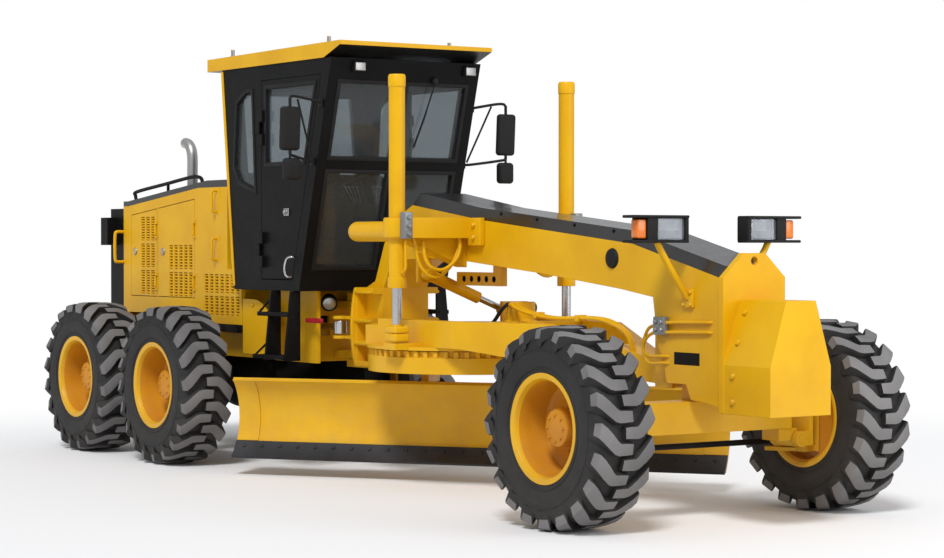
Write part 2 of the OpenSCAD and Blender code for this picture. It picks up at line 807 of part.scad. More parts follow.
// Front frame: ribbed hinge box, gooseneck beam, nose with its end plate, ball bracket and lock bar
module front_frame() color(yellow) {
    difference() {
        union() {
            box([x_hinge + hitch_x[0], x_hinge + hitch_x[1]], [-hitch_y, hitch_y], hitch_z);
            for (z = [ear_low_z, ear_high_z]) {
                zrod(x_hinge, 0, z, tongue_r);
                box([x_hinge, x_hinge + hitch_x[0]], [-tongue_r, tongue_r], z);
            }
        }
        zrod(x_hinge, 0, [hinge_pin_z[0] - over, hinge_pin_z[1] + over], hinge_pin_r + fit);
        both_sides() for (z = rib_z)
            box([x_hinge + hitch_x[0] + rib_t, x_hinge + hitch_x[1] + over], [hitch_y - rib_in,
                hitch_y + over], z);
    }
    side_plate(concat([for (p = goose_points) [x_hinge + p[0], p[1]]],
        [for (p = beam_top_points) [x_hinge + p[0], p[1]]],
        [beam_end, [beam_end[0], plate_z[0] + over]],
        [for (p = nose_points) [x_front + p[0], p[1]]],
        [for (p = beam_low_points) [x_hinge + p[0], p[1]]]), [-beam_y, beam_y]);
    both_sides() box([x_front - ball_back - ball_cheek_x, x_front - ball_back + ball_cheek_x], ball_cheek_y,
        [ball_cheek_low, nose_points[6][1] + over]);
    yrod(x_front - ball_back, [-ball_cheek_y[1], ball_cheek_y[1]], ball_z, ball_r);
    difference() {
        union() {
            box([x_hinge + lock_x[0], x_hinge + lock_x[1]], [-lock_y, lock_y], lock_z);
            box([x_hinge + lock_x[1] - lock_foot_l, x_hinge + lock_x[1]], [-lock_y, lock_y],
                [lock_z[0], beam_low_points[2][1]]);
        }
        for (i = [0 : lock_hole_n - 1])
            yrod(x_hinge + lock_x[0] + (i + 1) * (lock_x[1] - lock_x[0]) / (lock_hole_n + 1),
                [-lock_y - over, lock_y + over], (lock_z[0] + lock_z[1]) / 2, lock_hole_r);
    }
    box([x_hinge + shift_pin[0] - shift_lug_w - shift_lug_t, x_hinge + shift_pin[0] - shift_lug_w],
        [shift_pin[1] - shift_lug_w, shift_pin[1] + shift_lug_w],
        [shift_pin[2] - shift_lug_w, beam_low_points[3][1] + 2 * over]);
    xrod([x_hinge + shift_pin[0] - shift_lug_w - shift_lug_t, x_hinge + shift_pin[0] + shift_lug_w],
        shift_pin[1],
        shift_pin[2], shift_pin_r);
    both_sides() for (z = art_lug_z) {
        zrod(x_hinge + art_pin[0], art_pin[1], z, art_lug_r);
        box([x_hinge + art_pin[0], x_hinge + hitch_x[0] + over], [art_pin[1] - art_lug_r, hitch_y], z);
    }
}

// Black cover along the top of the beam
module frame_cover() color(black) {
    top = concat([[x_hinge + goose_points[4][0], goose_points[4][1]]],
        [for (p = beam_top_points) [x_hinge + p[0], p[1]]], [beam_end]);
    side_plate(concat(top, [for (i = [3 : -1 : 0]) top[i] + [i == 0 ? cover_slope : 0, cover_h]]),
        [-beam_y, beam_y]);
}

// Counterweight on the nose plate
module counterweight() color(yellow) {
    cross_plate([[-weight_y, weight_low], [weight_y, weight_low], [weight_y, weight_mid],
        [weight_top_y, weight_high],
        [-weight_top_y, weight_high], [-weight_y, weight_mid]], [x_plate - over, x_front + front_overhang]);
    difference() {
        cross_plate([[-plate_y, plate_z[0]], [plate_y, plate_z[0]], [plate_y, plate_z[1]],
            [plate_top_y, plate_z[2]], [-plate_top_y, plate_z[2]], [-plate_y, plate_z[1]]],
            [x_plate - nose_in, x_plate]);
        xrod([x_plate - nose_in - over, x_plate + over], 0, eye_z, eye_r);
    }
}

// Head lamps on slanted stalks
module headlamps() color(black) both_sides() {
    lx = x_front - lamp_back;
    box([lx - lamp_size[0] / 2, lx + lamp_size[0] / 2], [lamp_y - lamp_size[1] / 2,
        lamp_y + lamp_size[1] / 2],
        [lamp_z - lamp_size[2] / 2, lamp_z + lamp_size[2] / 2]);
    cross_plate([[beam_y, lamp_foot_z], [beam_y + lamp_stalk_w, lamp_foot_z],
        [lamp_y + lamp_stalk_w / 2, lamp_z - lamp_size[2] / 2 + over],
        [lamp_y - lamp_stalk_w / 2, lamp_z - lamp_size[2] / 2 + over], [beam_y,
        lamp_foot_z + 2 * lamp_stalk_w]],
        [lx - lamp_stalk_w / 2, lx + lamp_stalk_w / 2]);
}

// Lift saddle: straps on the beam, arms out to the lift cylinders, yokes and accumulators
module lift_saddle() color(yellow) both_sides() {
    box([x_hinge + strap_x[0], x_hinge + strap_x[1]], [beam_y, beam_y + strap_t],
        [yoke_z[0] - barrel_r, yoke_z[1]]);
    difference() {
        union() {
            box([x_hinge + arm_x[0], x_hinge + strap_x[0]], [beam_y, lift_y], yoke_z);
            cross_plate([[beam_y, gusset_low], [lift_y, yoke_z[0]], [lift_y, yoke_z[0] + over],
                [beam_y, yoke_z[0] + over]],
                [x_hinge + arm_x[0], x_hinge + arm_x[1]]);
            zrod(x_hinge + lift_x, lift_y, yoke_z, yoke_r);
            xrod([x_hinge + lift_x - yoke_r - tank_l, x_hinge + lift_x], tank_y, tank_z, tank_r);
            translate([x_hinge + lift_x - yoke_r - tank_l, tank_y, tank_z]) sphere(r = tank_r);
        }
        zrod(x_hinge + lift_x, lift_y, [yoke_z[0] - over - tank_r, yoke_z[1] + over + tank_r],
            barrel_r + fit);
    }
}

// Lift cylinders' barrels
module lift_barrels() color(yellow) both_sides() difference() {
    zrod(x_hinge + lift_x, lift_y, barrel_z, barrel_r);
    zrod(x_hinge + lift_x, lift_y, [barrel_z[0] - over, barrel_bore_top], rod_r + fit);
}

// Lift cylinders' rods with their ball caps
module lift_rods() color(steel) both_sides() {
    zrod(x_hinge + lift_x, lift_y, rod_z, rod_r);
    translate([x_hinge + lift_x, lift_y, rod_z[0]]) sphere(r = rod_ball_r);
}

// Front axle: straight box beam with a lean pivot boss at each end
module front_axle() color(yellow) {
    box([x_front - axle_beam_x, x_front + axle_beam_x], [-axle_beam_y, axle_beam_y], axle_beam_z);
    both_sides() {
        box([x_front - boss_x, x_front + boss_x], [axle_beam_y - 2 * lean_r, lean_y],
            [lean_z - lean_r / 6, axle_beam_z[0]]);
        xrod([x_front - boss_x, x_front + boss_x], lean_y, lean_z, lean_r);
        xrod([x_front - fork_x[1], x_front + fork_x[1]], lean_y, lean_z, lean_pin_r);
    }
    box([x_front - boss_x, x_front + boss_x], [-boss_x, boss_x], [axle_beam_z[1], nose_points[2][1]]);
}

// Lean bracket: fork on the lean pivot, upright web, kingpin sleeve and the lean bar's ear
module lean_bracket() color(yellow) difference() {
    union() {
        for (s = [-1, 1]) {
            xrod([x_front + s * fork_x[0], x_front + s * fork_x[1]], lean_y, lean_z, lean_r);
            box([x_front + s * fork_x[0], x_front + s * fork_x[1]], [lean_y, web_y[1]], [web_z[0],
                lean_z + lean_r]);
        }
        box([x_front - fork_x[1], x_front + fork_x[1]], web_y, web_z);
        zrod(x_front, king_y, sleeve_z, sleeve_r);
        box([x_front - ear_back, x_front - axle_beam_x - room], ear_y, ear_z);
    }
    xrod([x_front - fork_x[1] - over, x_front + fork_x[1] + over], lean_y, lean_z, lean_pin_r + fit);
    zrod(x_front, king_y, [sleeve_z[0] - over, sleeve_z[1] + over], king_r + fit);
}
module lean_right() mirror([0, 1, 0]) lean_bracket();
module lean_left() lean_bracket();

// Knuckle: yoke on the kingpin, spindle for the wheel and steering arm
module knuckle() color(yellow) {
    zrod(x_front, king_y, [yoke_low_z[0], yoke_high_z[1]], king_r);
    for (z = [yoke_low_z, yoke_high_z]) {
        zrod(x_front, king_y, z, sleeve_r);
        box([x_front - sleeve_r, x_front + sleeve_r], [king_y, king_plate_y[1]], z);
    }
    box([x_front - king_plate_x, x_front + king_plate_x], king_plate_y, [yoke_low_z[0], yoke_high_z[1]]);
    yrod(x_front, [king_plate_y[0], wheel_y - disc_in + hub_l - hub_wall - room], axle_z, spindle_r);
    rod_flat([x_front, king_y], [x_front - steer_arm_back, lean_y], steer_arm_z, steer_arm_r);
}
module knuckle_right() mirror([0, 1, 0]) knuckle();
module knuckle_left() knuckle();

// A flat link with round ends between two points in plan
module rod_flat(p, q, z, r) {
    v = q - p;
    translate([p[0], p[1], min(z)]) rotate([0, 0, atan2(v[1], v[0])]) {
        cylinder(r = r, h = max(z) - min(z));
        translate([0, -r, 0]) cube([norm(v), 2 * r, max(z) - min(z)]);
        translate([norm(v), 0, 0]) cylinder(r = r, h = max(z) - min(z));
    }
}

// Lean bar behind the axle, and the steering tie rod
module lean_bar() color(yellow)
    box([x_front - ear_back - fit - bar_t, x_front - ear_back - fit], [-bar_y, bar_y], bar_z);
module tie_rod() color(black)
    yrod(x_front - steer_arm_back, [-tie_y, tie_y], tie_z, tie_r);

// Drawbar: an A-shaped frame from the ball to the circle, with lift lugs and the circle's motor
module drawbar() color(yellow) {
    difference() {
        union() {
            difference() {
                intersection() {
                    side_plate([for (p = draw_side_points) [x_hinge + p[0], p[1]]], [-cab_w, cab_w]);
                    linear_extrude(roof_top) difference() {
                        polygon(mirror_plan([for (p = draw_plan_points) [x_hinge + p[0], p[1]]]));
                        polygon(mirror_plan([for (p = draw_hole_points) [x_hinge + p[0], p[1]]]));
                    }
                }
                translate([0, 0, draw_tray_z]) linear_extrude(roof_top)
                    polygon(mirror_plan([for (p = draw_tray_points) [x_hinge + p[0], p[1]]]));
            }
            difference() {
                zrod(x_hinge + circle_x, 0, flange_z, circle_d / 2 + flange_out, $fn = 240);
                zrod(x_hinge + circle_x, 0, [flange_z[0] - over, flange_z[1] + over], circle_in_r, $fn = 240);
            }
            yrod(x_front - ball_back, [-draw_eye_y, draw_eye_y], ball_z, draw_eye_r);
            both_sides() box([x_hinge + draw_lug_x[0], x_hinge + draw_lug_x[1]], draw_lug_y, draw_lug_z);
            zrod(x_hinge + motor_x, 0, motor_z, motor_r);
            for (sx = [-1, 1]) for (sy = [-1, 1])
                zrod(x_hinge + circle_x + sx * shoe_at, sy * shoe_at, [circle_z[1] + fit,
                    draw_lug_z[1]], shoe_r);
            box([x_hinge + shift_eye[0] + shift_eye_lug[0], x_hinge + shift_eye[0] + shift_eye_lug[1]],
                [shift_eye[1] - shift_eye_lug[0], shift_eye[1] + shift_eye_lug[0]],
                [draw_tray_z - over, shift_eye[2] + shift_eye_lug[0]]);
        }
        yrod(x_front - ball_back, [-draw_eye_y - over, draw_eye_y + over], ball_z, ball_r + fit);
    }
}

// Places in the circle's own frame, turned to the blade's angle
module on_circle() translate([x_hinge + circle_x, 0, 0]) rotate([0, 0, -blade_angle]) children();

// Circle: ring below the drawbar and two arms down to the blade's tilt pivot
tooth_points = [for (i = [0 : tooth_n - 1]) for (t = tooth_shares)
    (circle_d / 2 - room - tooth_h + t[1] * tooth_h) * [cos((i + t[0]) * 360 / tooth_n),
        sin((i + t[0]) * 360 / tooth_n)]];
module circle_ring() {
    difference() {
        union() {
            zrod(0, 0, [circle_z[0], tooth_z], circle_d / 2, $fn = 240);
            translate([0, 0,
                tooth_z - over]) linear_extrude(circle_z[1] - tooth_z + over) polygon(tooth_points);
        }
        zrod(0, 0, [circle_z[0] - over, circle_z[1] + over], circle_in_r, $fn = 240);
    }
}
module circle_node() color(yellow) on_circle() {
    circle_ring();
    both_sides() difference() {
        union() {
            box([arm_back[0] - 2 * tilt_eye_r, arm_back[1]], arm_y, [circle_z[0] - 2 * tilt_eye_r,
                circle_z[0]]);
            box(arm_back, arm_y, [tilt_z, circle_z[0]]);
            yrod(tilt_x, arm_y, tilt_z, tilt_eye_r);
        }
        yrod(tilt_x, arm_y + [-over, over], tilt_z, tilt_r + fit);
    }
}

// Tilt bracket: cross tube on the arms' pivots with jaws for the blade's slides
module tilt_bracket() color(yellow) on_circle() {
    yrod(tilt_x, [-tilt_tube_y, tilt_tube_y], tilt_z, tilt_r);
    both_sides() {
        box(bracket_x, bracket_y, bracket_z);
        box([bracket_x[0] + tilt_eye_r, jaw_x], bracket_y, jaw_high_z);
        box([bracket_x[0] + tilt_eye_r, jaw_x], bracket_y, jaw_low_z);
    }
}

// Section of a curved plate between two radii and two angles, bulging rearward
function curve_points(r0, r1, a0, a1, n) = concat(
    [for (i = [0 : n]) let (a = a0 + (a1 - a0) * i / n)
        [board_back + blade_r - r0 * cos(a), board_mid_z + r0 * sin(a)]],
    [for (i = [n : -1 : 0]) let (a = a0 + (a1 - a0) * i / n)
        [board_back + blade_r - r1 * cos(a), board_mid_z + r1 * sin(a)]]);

// Mouldboard: the curved blade with two slides on its back
module mouldboard() color(yellow) on_circle() {
    y = [board_side - blade_l / 2, board_side + blade_l / 2];
    side_plate(curve_points(blade_r, blade_r + board_t, -board_a, board_a, 24), y);
    for (z = [slide_high_z, slide_low_z])
        box(slide_x, [-slide_y, slide_y], z);
}

// Cutting edge bolted along the blade's lower front
module cutting_edge() color(steel) on_circle()
    side_plate(curve_points(blade_r - edge_t - fit, blade_r - fit, edge_a[0], edge_a[1], 6),
        [board_side - blade_l / 2, board_side + blade_l / 2]);

// Shift cylinder from the beam to the drawbar's left side
shift_run = [0, shift_eye[1] - shift_pin[1], shift_eye[2] - shift_pin[2]];
module along_shift() translate([x_hinge + shift_pin[0], shift_pin[1], shift_pin[2]])
    rotate([atan2(shift_run[2], shift_run[1]), 0, 0]) children();
module shift_barrel() color(yellow) along_shift() difference() {
    union() {
        yrod(0, [0, shift_barrel_l], 0, shift_r);
        xrod([-shift_r, shift_r], 0, 0, shift_eye_r);
    }
    xrod([-shift_r - over, shift_r + over], 0, 0, shift_pin_r + fit);
    yrod(0, [2 * shift_eye_r, shift_barrel_l + over], 0, shift_rod_r + fit);
}
module shift_rod() color(steel) along_shift() {
    l = norm(shift_run);
    yrod(0, [shift_barrel_l / 2, l], 0, shift_rod_r);
    difference() {
        xrod([-shift_r / 2, shift_r / 2], l, 0, shift_eye_r);
        xrod([-shift_r, shift_r], l, 0, shift_pin_r);
    }
}

// Articulation cylinders between the rear frame and the front frame's hinge box
hinge_run = [hinge_ahead + art_pin[0] - art_rear[0], art_pin[1] - art_rear[1], 0];
module along_hinge() translate([x_rear + art_rear[0], art_rear[1], art_rear[2]])
    rotate([0, 0, atan2(hinge_run[1], hinge_run[0])]) children();
module hinge_barrel() color(black) along_hinge() difference() {
    union() {
        xrod([0, art_barrel_l], 0, 0, art_r);
        zrod(0, 0, [-art_r, art_r], art_eye_r);
    }
    xrod([2 * art_eye_r, art_barrel_l + over], 0, 0, art_rod_r + fit);
}
module hinge_rod() color(steel) along_hinge() {
    l = norm(hinge_run);
    difference() {
        union() {
            xrod([art_barrel_l / 2, l], 0, 0, art_rod_r);
            zrod(l, 0, [-art_eye_h / 2, art_eye_h / 2], art_rod_eye_r);
        }
        zrod(l, 0, [-art_eye_h, art_eye_h], art_rod_r);
    }
}
module hinge_barrel_right() mirror([0, 1, 0]) hinge_barrel();
module hinge_barrel_left() hinge_barrel();
module hinge_rod_right() mirror([0, 1, 0]) hinge_rod();
module hinge_rod_left() hinge_rod();

// Tyre: a revolved carcass and two rows of slanted lugs, its middle at the origin, axis along Y
tyre_half = concat([[rim_seat_d / 2 + fit, bead_y], [rim_seat_d / 2 + rim_flange_h + fit, bead_y]],
    [for (t = tyre_side_shares) [t[0] * tyre_d / 2, t[1] * tyre_w / 2]],
    [[tread_r - over, lug_row_share * tyre_w / 2]]);
lug_points = [for (i = [0 : lug_n - 1]) for (t = lug_tooth_shares)
    (tread_r + t[1] * lug_h) * [cos(90 + (i + t[0]) * 360 / lug_n), sin(90 + (i + t[0]) * 360 / lug_n)]];
// One row of lugs from the middle of the tread to its shoulder, slanted by a twist
module lug_row() linear_extrude(lug_row_share * tyre_w / 2, twist = lug_slant, slices = 1,
    scale = lug_taper_share,
    $fn = tyre_n)
    difference() {
        polygon(lug_points);
        circle(r = tread_r - 3 * over, $fn = tyre_n);
    }
module tyre() color(rubber) rotate([-90, 0, 0]) {
    rotate_extrude($fn = 96)
        polygon(concat(tyre_half, [for (i = [len(tyre_half) - 1 : -1 : 0]) [tyre_half[i][0],
            -tyre_half[i][1]]]));
    lug_row();
    rotate([0, 0, 180 / lug_n]) mirror([0, 0, 1]) lug_row();
}

// Rim: flanged barrel with a deep set disc and a hub, outer face toward +Y
module rim() color(yellow) rotate([90, 0, 0]) rotate_extrude($fn = 96) {
    seat_r = rim_seat_d / 2;
    flange_r = seat_r + rim_flange_h;
    out_y = rim_w / 2;
    in_r = seat_r - rim_t;
    bore_r = spindle_r + fit;
    polygon([[flange_r, -out_y], [flange_r, rim_flange_t - out_y], [seat_r, rim_flange_t - out_y],
        [seat_r, out_y - rim_flange_t], [flange_r, out_y - rim_flange_t], [flange_r, out_y], [in_r, out_y],
        [in_r, disc_in], [hub_r, disc_in], [bore_r, disc_in], [bore_r, disc_in - hub_l + hub_wall],
        [0, disc_in - hub_l + hub_wall], [0, disc_in - hub_l], [hub_r, disc_in - hub_l],
        [hub_r, disc_in - disc_t], [in_r, disc_in - disc_t], [in_r, -out_y]]);
}
wheel_places = [["fr", x_front, -1], ["fl", x_front, 1],
    ["mr", x_rear + tandem_pitch / 2, -1], ["ml", x_rear + tandem_pitch / 2, 1],
    ["rr", x_rear - tandem_pitch / 2, -1], ["rl", x_rear - tandem_pitch / 2, 1]];
module at_wheel(w) translate([w[1], w[2] * wheel_y, axle_z]) mirror([0, w[2] < 0 ? 1 : 0, 0]) children();

rear_frame();
engine();
rear_axle();
tandem_cases();
hood();
hood_top();
tail_frame();
exhaust();
cab_frame();
cab_roof();
cab_glass();
seat();
console();
steps_and_rails();
mirrors();
door_right();
door_left();
door_glass_right();
door_glass_left();
hood_door_rr();
hood_door_rf();
hood_door_lr();
hood_door_lf();
front_frame();
frame_cover();
counterweight();
headlamps();
lift_saddle();
lift_barrels();
lift_rods();
front_axle();
lean_right();
lean_left();
knuckle_right();
knuckle_left();
lean_bar();
tie_rod();
drawbar();
circle_node();  // circle
tilt_bracket();
mouldboard();
cutting_edge();
shift_barrel();
shift_rod();
hinge_barrel_right();
hinge_barrel_left();
hinge_rod_right();
hinge_rod_left();
for (w = wheel_places) {
    at_wheel(w) tyre();
    at_wheel(w) rim();
}
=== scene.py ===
import math

import bmesh
import bpy
import numpy as np
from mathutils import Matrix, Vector


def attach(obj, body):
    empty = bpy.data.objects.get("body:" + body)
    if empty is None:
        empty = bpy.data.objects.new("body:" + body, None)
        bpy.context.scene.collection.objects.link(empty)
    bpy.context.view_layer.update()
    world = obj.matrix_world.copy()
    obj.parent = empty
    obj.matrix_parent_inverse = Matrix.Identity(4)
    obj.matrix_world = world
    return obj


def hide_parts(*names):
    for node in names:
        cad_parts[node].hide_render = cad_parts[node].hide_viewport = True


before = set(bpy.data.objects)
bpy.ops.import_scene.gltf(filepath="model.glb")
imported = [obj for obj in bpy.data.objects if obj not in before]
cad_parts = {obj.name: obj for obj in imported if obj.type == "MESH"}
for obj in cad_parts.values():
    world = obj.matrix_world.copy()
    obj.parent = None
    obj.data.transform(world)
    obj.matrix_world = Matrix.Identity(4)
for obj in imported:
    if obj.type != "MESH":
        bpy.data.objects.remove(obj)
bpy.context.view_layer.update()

# The picture: the machine is seen from its right front corner, from eye height
# and through a long lens, so the far side is little smaller than the near one.
scene = bpy.context.scene
eye = Vector((15.637, -9.945, 1.822))
turn, dip = math.radians(33.691), math.radians(0.874)
look = Vector((-math.cos(turn) * math.cos(dip), math.sin(turn) * math.cos(dip), -math.sin(dip)))
camera = bpy.data.objects.new("camera", bpy.data.cameras.new("camera"))
camera.data.sensor_fit = "HORIZONTAL"
camera.data.sensor_width = 36
camera.data.lens = 90.8
camera.data.clip_end = 300
camera.location = eye
camera.rotation_euler = look.to_track_quat("-Z", "Y").to_euler()
scene.collection.objects.link(camera)
scene.camera = camera
scene.view_settings.view_transform = "Standard"


# The studio: a pale floor that fades into a white backdrop, one broad soft sun
# from the upper left of the camera, and an even sky for the shaded sides.
def settle(node, values):
    """Sets the values of a node's sockets."""
    for socket, value in dict(values).items():
        node.inputs[socket].default_value = value


def put(tree, kind, values=(), feeds=()):
    """Adds a shader node of one kind, sets its values and links what feeds its sockets."""
    node = tree.nodes.new("ShaderNode" + kind)
    settle(node, values)
    for socket, source in dict(feeds).items():
        tree.links.new(source, node.inputs[socket])
    return node


def nodes_of(material):
    """The material's node tree and its Principled shader."""
    material.use_nodes = True
    return material.node_tree, material.node_tree.nodes["Principled BSDF"]


def light(name, kind, energy, towards, at=(0, 0, 0)):
    """A light at a place that shines towards a direction."""
    lamp = bpy.data.objects.new(name, bpy.data.lights.new(name, kind))
    lamp.data.energy = energy
    lamp.location = at
    lamp.rotation_euler = Vector(towards).to_track_quat("-Z", "Y").to_euler()
    scene.collection.objects.link(lamp)
    return lamp.data


world = bpy.data.worlds.new("studio")
scene.world = world
world.use_nodes = True
sky = world.node_tree
rays = put(sky, "LightPath").outputs
seen = put(sky, "Math", (), {0: rays["Is Camera Ray"], 1: rays["Is Transmission Ray"]})
seen.operation = "MAXIMUM"
backdrop = put(sky, "Background", {"Color": (1, 1, 1, 1), "Strength": 1.0})
glow = sky.nodes["Background"]
settle(glow, {"Color": (0.96, 0.98, 1, 1), "Strength": 0.56})
both = put(sky, "MixShader", (), {0: seen.outputs[0], 1: glow.outputs[0], 2: backdrop.outputs[0]})
sky.links.new(both.outputs[0], sky.nodes["World Output"].inputs["Surface"])
light("sun", "SUN", 2.15, (-0.62, 0.62, -0.98)).angle = math.radians(14)
light("fill", "AREA", 420, (-11.5, -5, -3.6), (13, 5, 5)).size = 7

bpy.ops.mesh.primitive_circle_add(vertices=128, radius=45, fill_type="NGON")
floor = bpy.context.object
floor.name = "floor"
floor_paint = bpy.data.materials.new("floor")
tree, shader = nodes_of(floor_paint)
settle(shader, {"Base Color": (0.86, 0.86, 0.87, 1), "Roughness": 0.85})
reach = put(tree, "VectorMath", (), {0: put(tree, "TexCoord").outputs["Object"]})
reach.operation = "LENGTH"
fade = put(tree, "MapRange", {"From Min": 4.6, "From Max": 9.5}, {"Value": reach.outputs["Value"]})
fade.interpolation_type = "SMOOTHSTEP"
white = put(tree, "Emission", {"Color": (1, 1, 1, 1)})
blend = put(tree, "MixShader", (), {0: fade.outputs["Result"], 1: shader.outputs[0], 2: white.outputs[0]})
tree.links.new(blend.outputs[0], tree.nodes["Material Output"].inputs["Surface"])
floor.data.materials.append(floor_paint)


# Welded steel frames in chrome yellow enamel: sprayed plate with a fine peel,
# a little dust low down, and edges rounded by the grinder before painting.
def enamel(name, colour, shade, rough=0.34, peel=0.1, edge=0.006, dust=0.0, metal=0.0, coat=0.06, shine=0.28,
           under=None):
    """Sprayed paint: two shades mixed by soft noise, roughness by a second noise, fine bump, rounded edges and
    a share of grey dust that fades out a metre above the ground. Faces that look down take the colour under."""
    material = bpy.data.materials.new(name)
    tree, shader = nodes_of(material)
    spot = put(tree, "TexCoord").outputs["Object"]

    def noise(scale, detail=2):
        return put(tree, "TexNoise", {"Scale": scale, "Detail": detail}, {"Vector": spot}).outputs["Fac"]

    def over(base, layer, share):
        return put(tree, "MixRGB", {"Color2": (*layer, 1)}, {"Fac": share, "Color1": base}).outputs["Color"]

    tones = put(tree, "ValToRGB", (), {"Fac": noise(2.6, 5)})
    for stop, place, tone in zip(tones.color_ramp.elements, (0.32, 0.68), (shade, colour)):
        stop.position, stop.color = place, (*tone, 1)
    paint = tones.outputs["Color"]
    if dust:
        height = put(tree, "SeparateXYZ", (), {0: spot}).outputs["Z"]
        low = put(tree, "MapRange", {"From Min": 1.3, "From Max": 0.25, "To Max": dust}, {"Value": height})
        share = put(tree, "Math", (), {0: low.outputs["Result"], 1: noise(9, 8)})
        share.operation = "MULTIPLY"
        paint = over(paint, (0.24, 0.2, 0.15), share.outputs[0])
    if under:
        facing = put(tree, "NewGeometry").outputs["True Normal"]
        down = put(tree, "Math", {1: -0.2}, {0: put(tree, "SeparateXYZ", (), {0: facing}).outputs["Z"]})
        down.operation = "LESS_THAN"
        paint = over(paint, under, down.outputs[0])
    gloss = put(tree, "MapRange", {"To Min": rough - 0.07, "To Max": rough + 0.1}, {"Value": noise(14, 6)})
    bump = put(tree, "Bump", {"Strength": peel, "Distance": 0.002}, {"Height": noise(220)})
    if edge:
        bevel = put(tree, "Bevel", {"Radius": edge})
        bevel.samples = 4
        tree.links.new(bevel.outputs[0], bump.inputs["Normal"])
    for socket, source in (("Base Color", paint), ("Roughness", gloss.outputs["Result"]),
                           ("Normal", bump.outputs["Normal"])):
        tree.links.new(source, shader.inputs[socket])
    settle(shader, {"Metallic": metal, "Coat Weight": coat, "Specular IOR Level": shine, "Coat Roughness": 0.12})
    return material


def dress(material, *names):
    """Gives CAD nodes one material."""
    for name in names:
        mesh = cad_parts[name].data
        mesh.materials.clear()
        mesh.materials.append(material)


chrome_yellow = (0.78, 0.435, 0.004), (0.7, 0.365, 0.003)
yellow = enamel("yellow_enamel", *chrome_yellow, dust=0.3, shine=0.2)
black = enamel("black_enamel", (0.0075, 0.0075, 0.008), (0.005, 0.005, 0.0055), rough=0.42, dust=0.03, coat=0.0,
               shine=0.09)
dress(yellow, "rear_frame", "hood", "hood_door_rr", "hood_door_rf", "hood_door_lr", "hood_door_lf",
      "front_frame", "counterweight", "lift_saddle", "lift_barrels", "front_axle", "lean_right", "lean_left",
      "knuckle_right", "knuckle_left", "lean_bar", "drawbar", "circle", "tilt_bracket", "mouldboard", "shift_barrel")
dress(black, "tandem_cases", "rear_axle", "tail_frame", "cab_frame", "steps_and_rails", "mirrors",
      "door_right", "door_left", "headlamps", "tie_rod", "hinge_barrel_right", "hinge_barrel_left",
      "console", "seat")
cover_paint = enamel("cover_enamel", (0.01, 0.01, 0.0105), (0.007, 0.007, 0.0075), rough=0.3, coat=0.5, shine=0.45)
dress(cover_paint, "hood_top", "frame_cover")
roof_paint = enamel("roof_enamel", *chrome_yellow, shine=0.2, under=(0.006, 0.006, 0.006))
dress(roof_paint, "cab_roof")
engine_grey = enamel("engine_grey", (0.1, 0.105, 0.11), (0.07, 0.07, 0.075), rough=0.55)
dress(engine_grey, "engine")
chrome = enamel("rod_chrome", (0.62, 0.63, 0.65), (0.52, 0.53, 0.55), rough=0.2, peel=0.02, metal=1.0, coat=0)
dress(chrome, "exhaust", "lift_rods", "shift_rod", "hinge_rod_right", "hinge_rod_left")
edge_steel = enamel("edge_steel", (0.05, 0.05, 0.055), (0.03, 0.03, 0.033), rough=0.45, peel=0.3, metal=0.6, coat=0)
dress(edge_steel, "cutting_edge")


# Window panes: tinted safety glass a few millimetres thick, bonded in rubber, and
# dark enough that the cab's inside hardly shows.
def pane_glass(name, tint):
    """Clear tinted glass: transmission with a faint waviness."""
    material = bpy.data.materials.new(name)
    tree, shader = nodes_of(material)
    settle(shader, {"Base Color": (*tint, 1), "Roughness": 0.03, "IOR": 1.32, "Transmission Weight": 0.92})
    wave = put(tree, "TexNoise", {"Scale": 3}, {"Vector": put(tree, "TexCoord").outputs["Object"]})
    bump = put(tree, "Bump", {"Strength": 0.03}, {"Height": wave.outputs["Fac"]})
    tree.links.new(bump.outputs["Normal"], shader.inputs["Normal"])
    return material


glass = pane_glass("window_glass", (0.36, 0.4, 0.42))
dress(glass, "cab_glass", "door_glass_right", "door_glass_left")

# Tyres: wide earthmover casings in black rubber, with two staggered rows of
# elbow lugs that run from the shoulder to the middle of the tread.
rubber = enamel("tyre_rubber", (0.022, 0.022, 0.023), (0.014, 0.014, 0.015), rough=0.62, peel=0.5, edge=0, dust=0.1,
                coat=0)
lug_top = enamel("worn_lug", (0.2, 0.195, 0.197), (0.125, 0.122, 0.126), rough=0.7, peel=0.8, edge=0.004, dust=0.2,
                 coat=0)


def grid(points, wrap_u=False, caps=False):
    """Corners and quads of a surface given as points[u, v], closed along v; wrap_u joins the last row to the first,
    and caps fills the first and last row with a polygon."""
    nu, nv = points.shape[:2]
    a, b = [g.ravel() for g in np.meshgrid(np.arange(nu if wrap_u else nu - 1), np.arange(nv), indexing="ij")]
    c, d = (a + 1) % nu, (b + 1) % nv
    faces = np.stack([a * nv + b, c * nv + b, c * nv + d, a * nv + d], 1).tolist()
    if caps:
        faces += [np.arange(nv)[::-1].tolist(), (np.arange(nv) + (nu - 1) * nv).tolist()]
    return points.reshape(-1, 3), faces


def copies(part, shifts, turns=None):
    """One part repeated at each shift, after an optional 3 by 3 turn for each."""
    points, faces = part
    turns = np.repeat(np.eye(3)[None], len(shifts), 0) if turns is None else turns
    every = np.einsum("kij,nj->kni", turns, points) + np.asarray(shifts, float)[:, None]
    step = len(points)
    return every.reshape(-1, 3), [[i + k * step for i in f] for k in range(len(shifts)) for f in faces]


def joined(*parts):
    """Several parts as one."""
    points, faces, start = [], [], 0
    for p, f in parts:
        points.append(p)
        faces += [[i + start for i in face] for face in f]
        start += len(p)
    return np.concatenate(points), faces


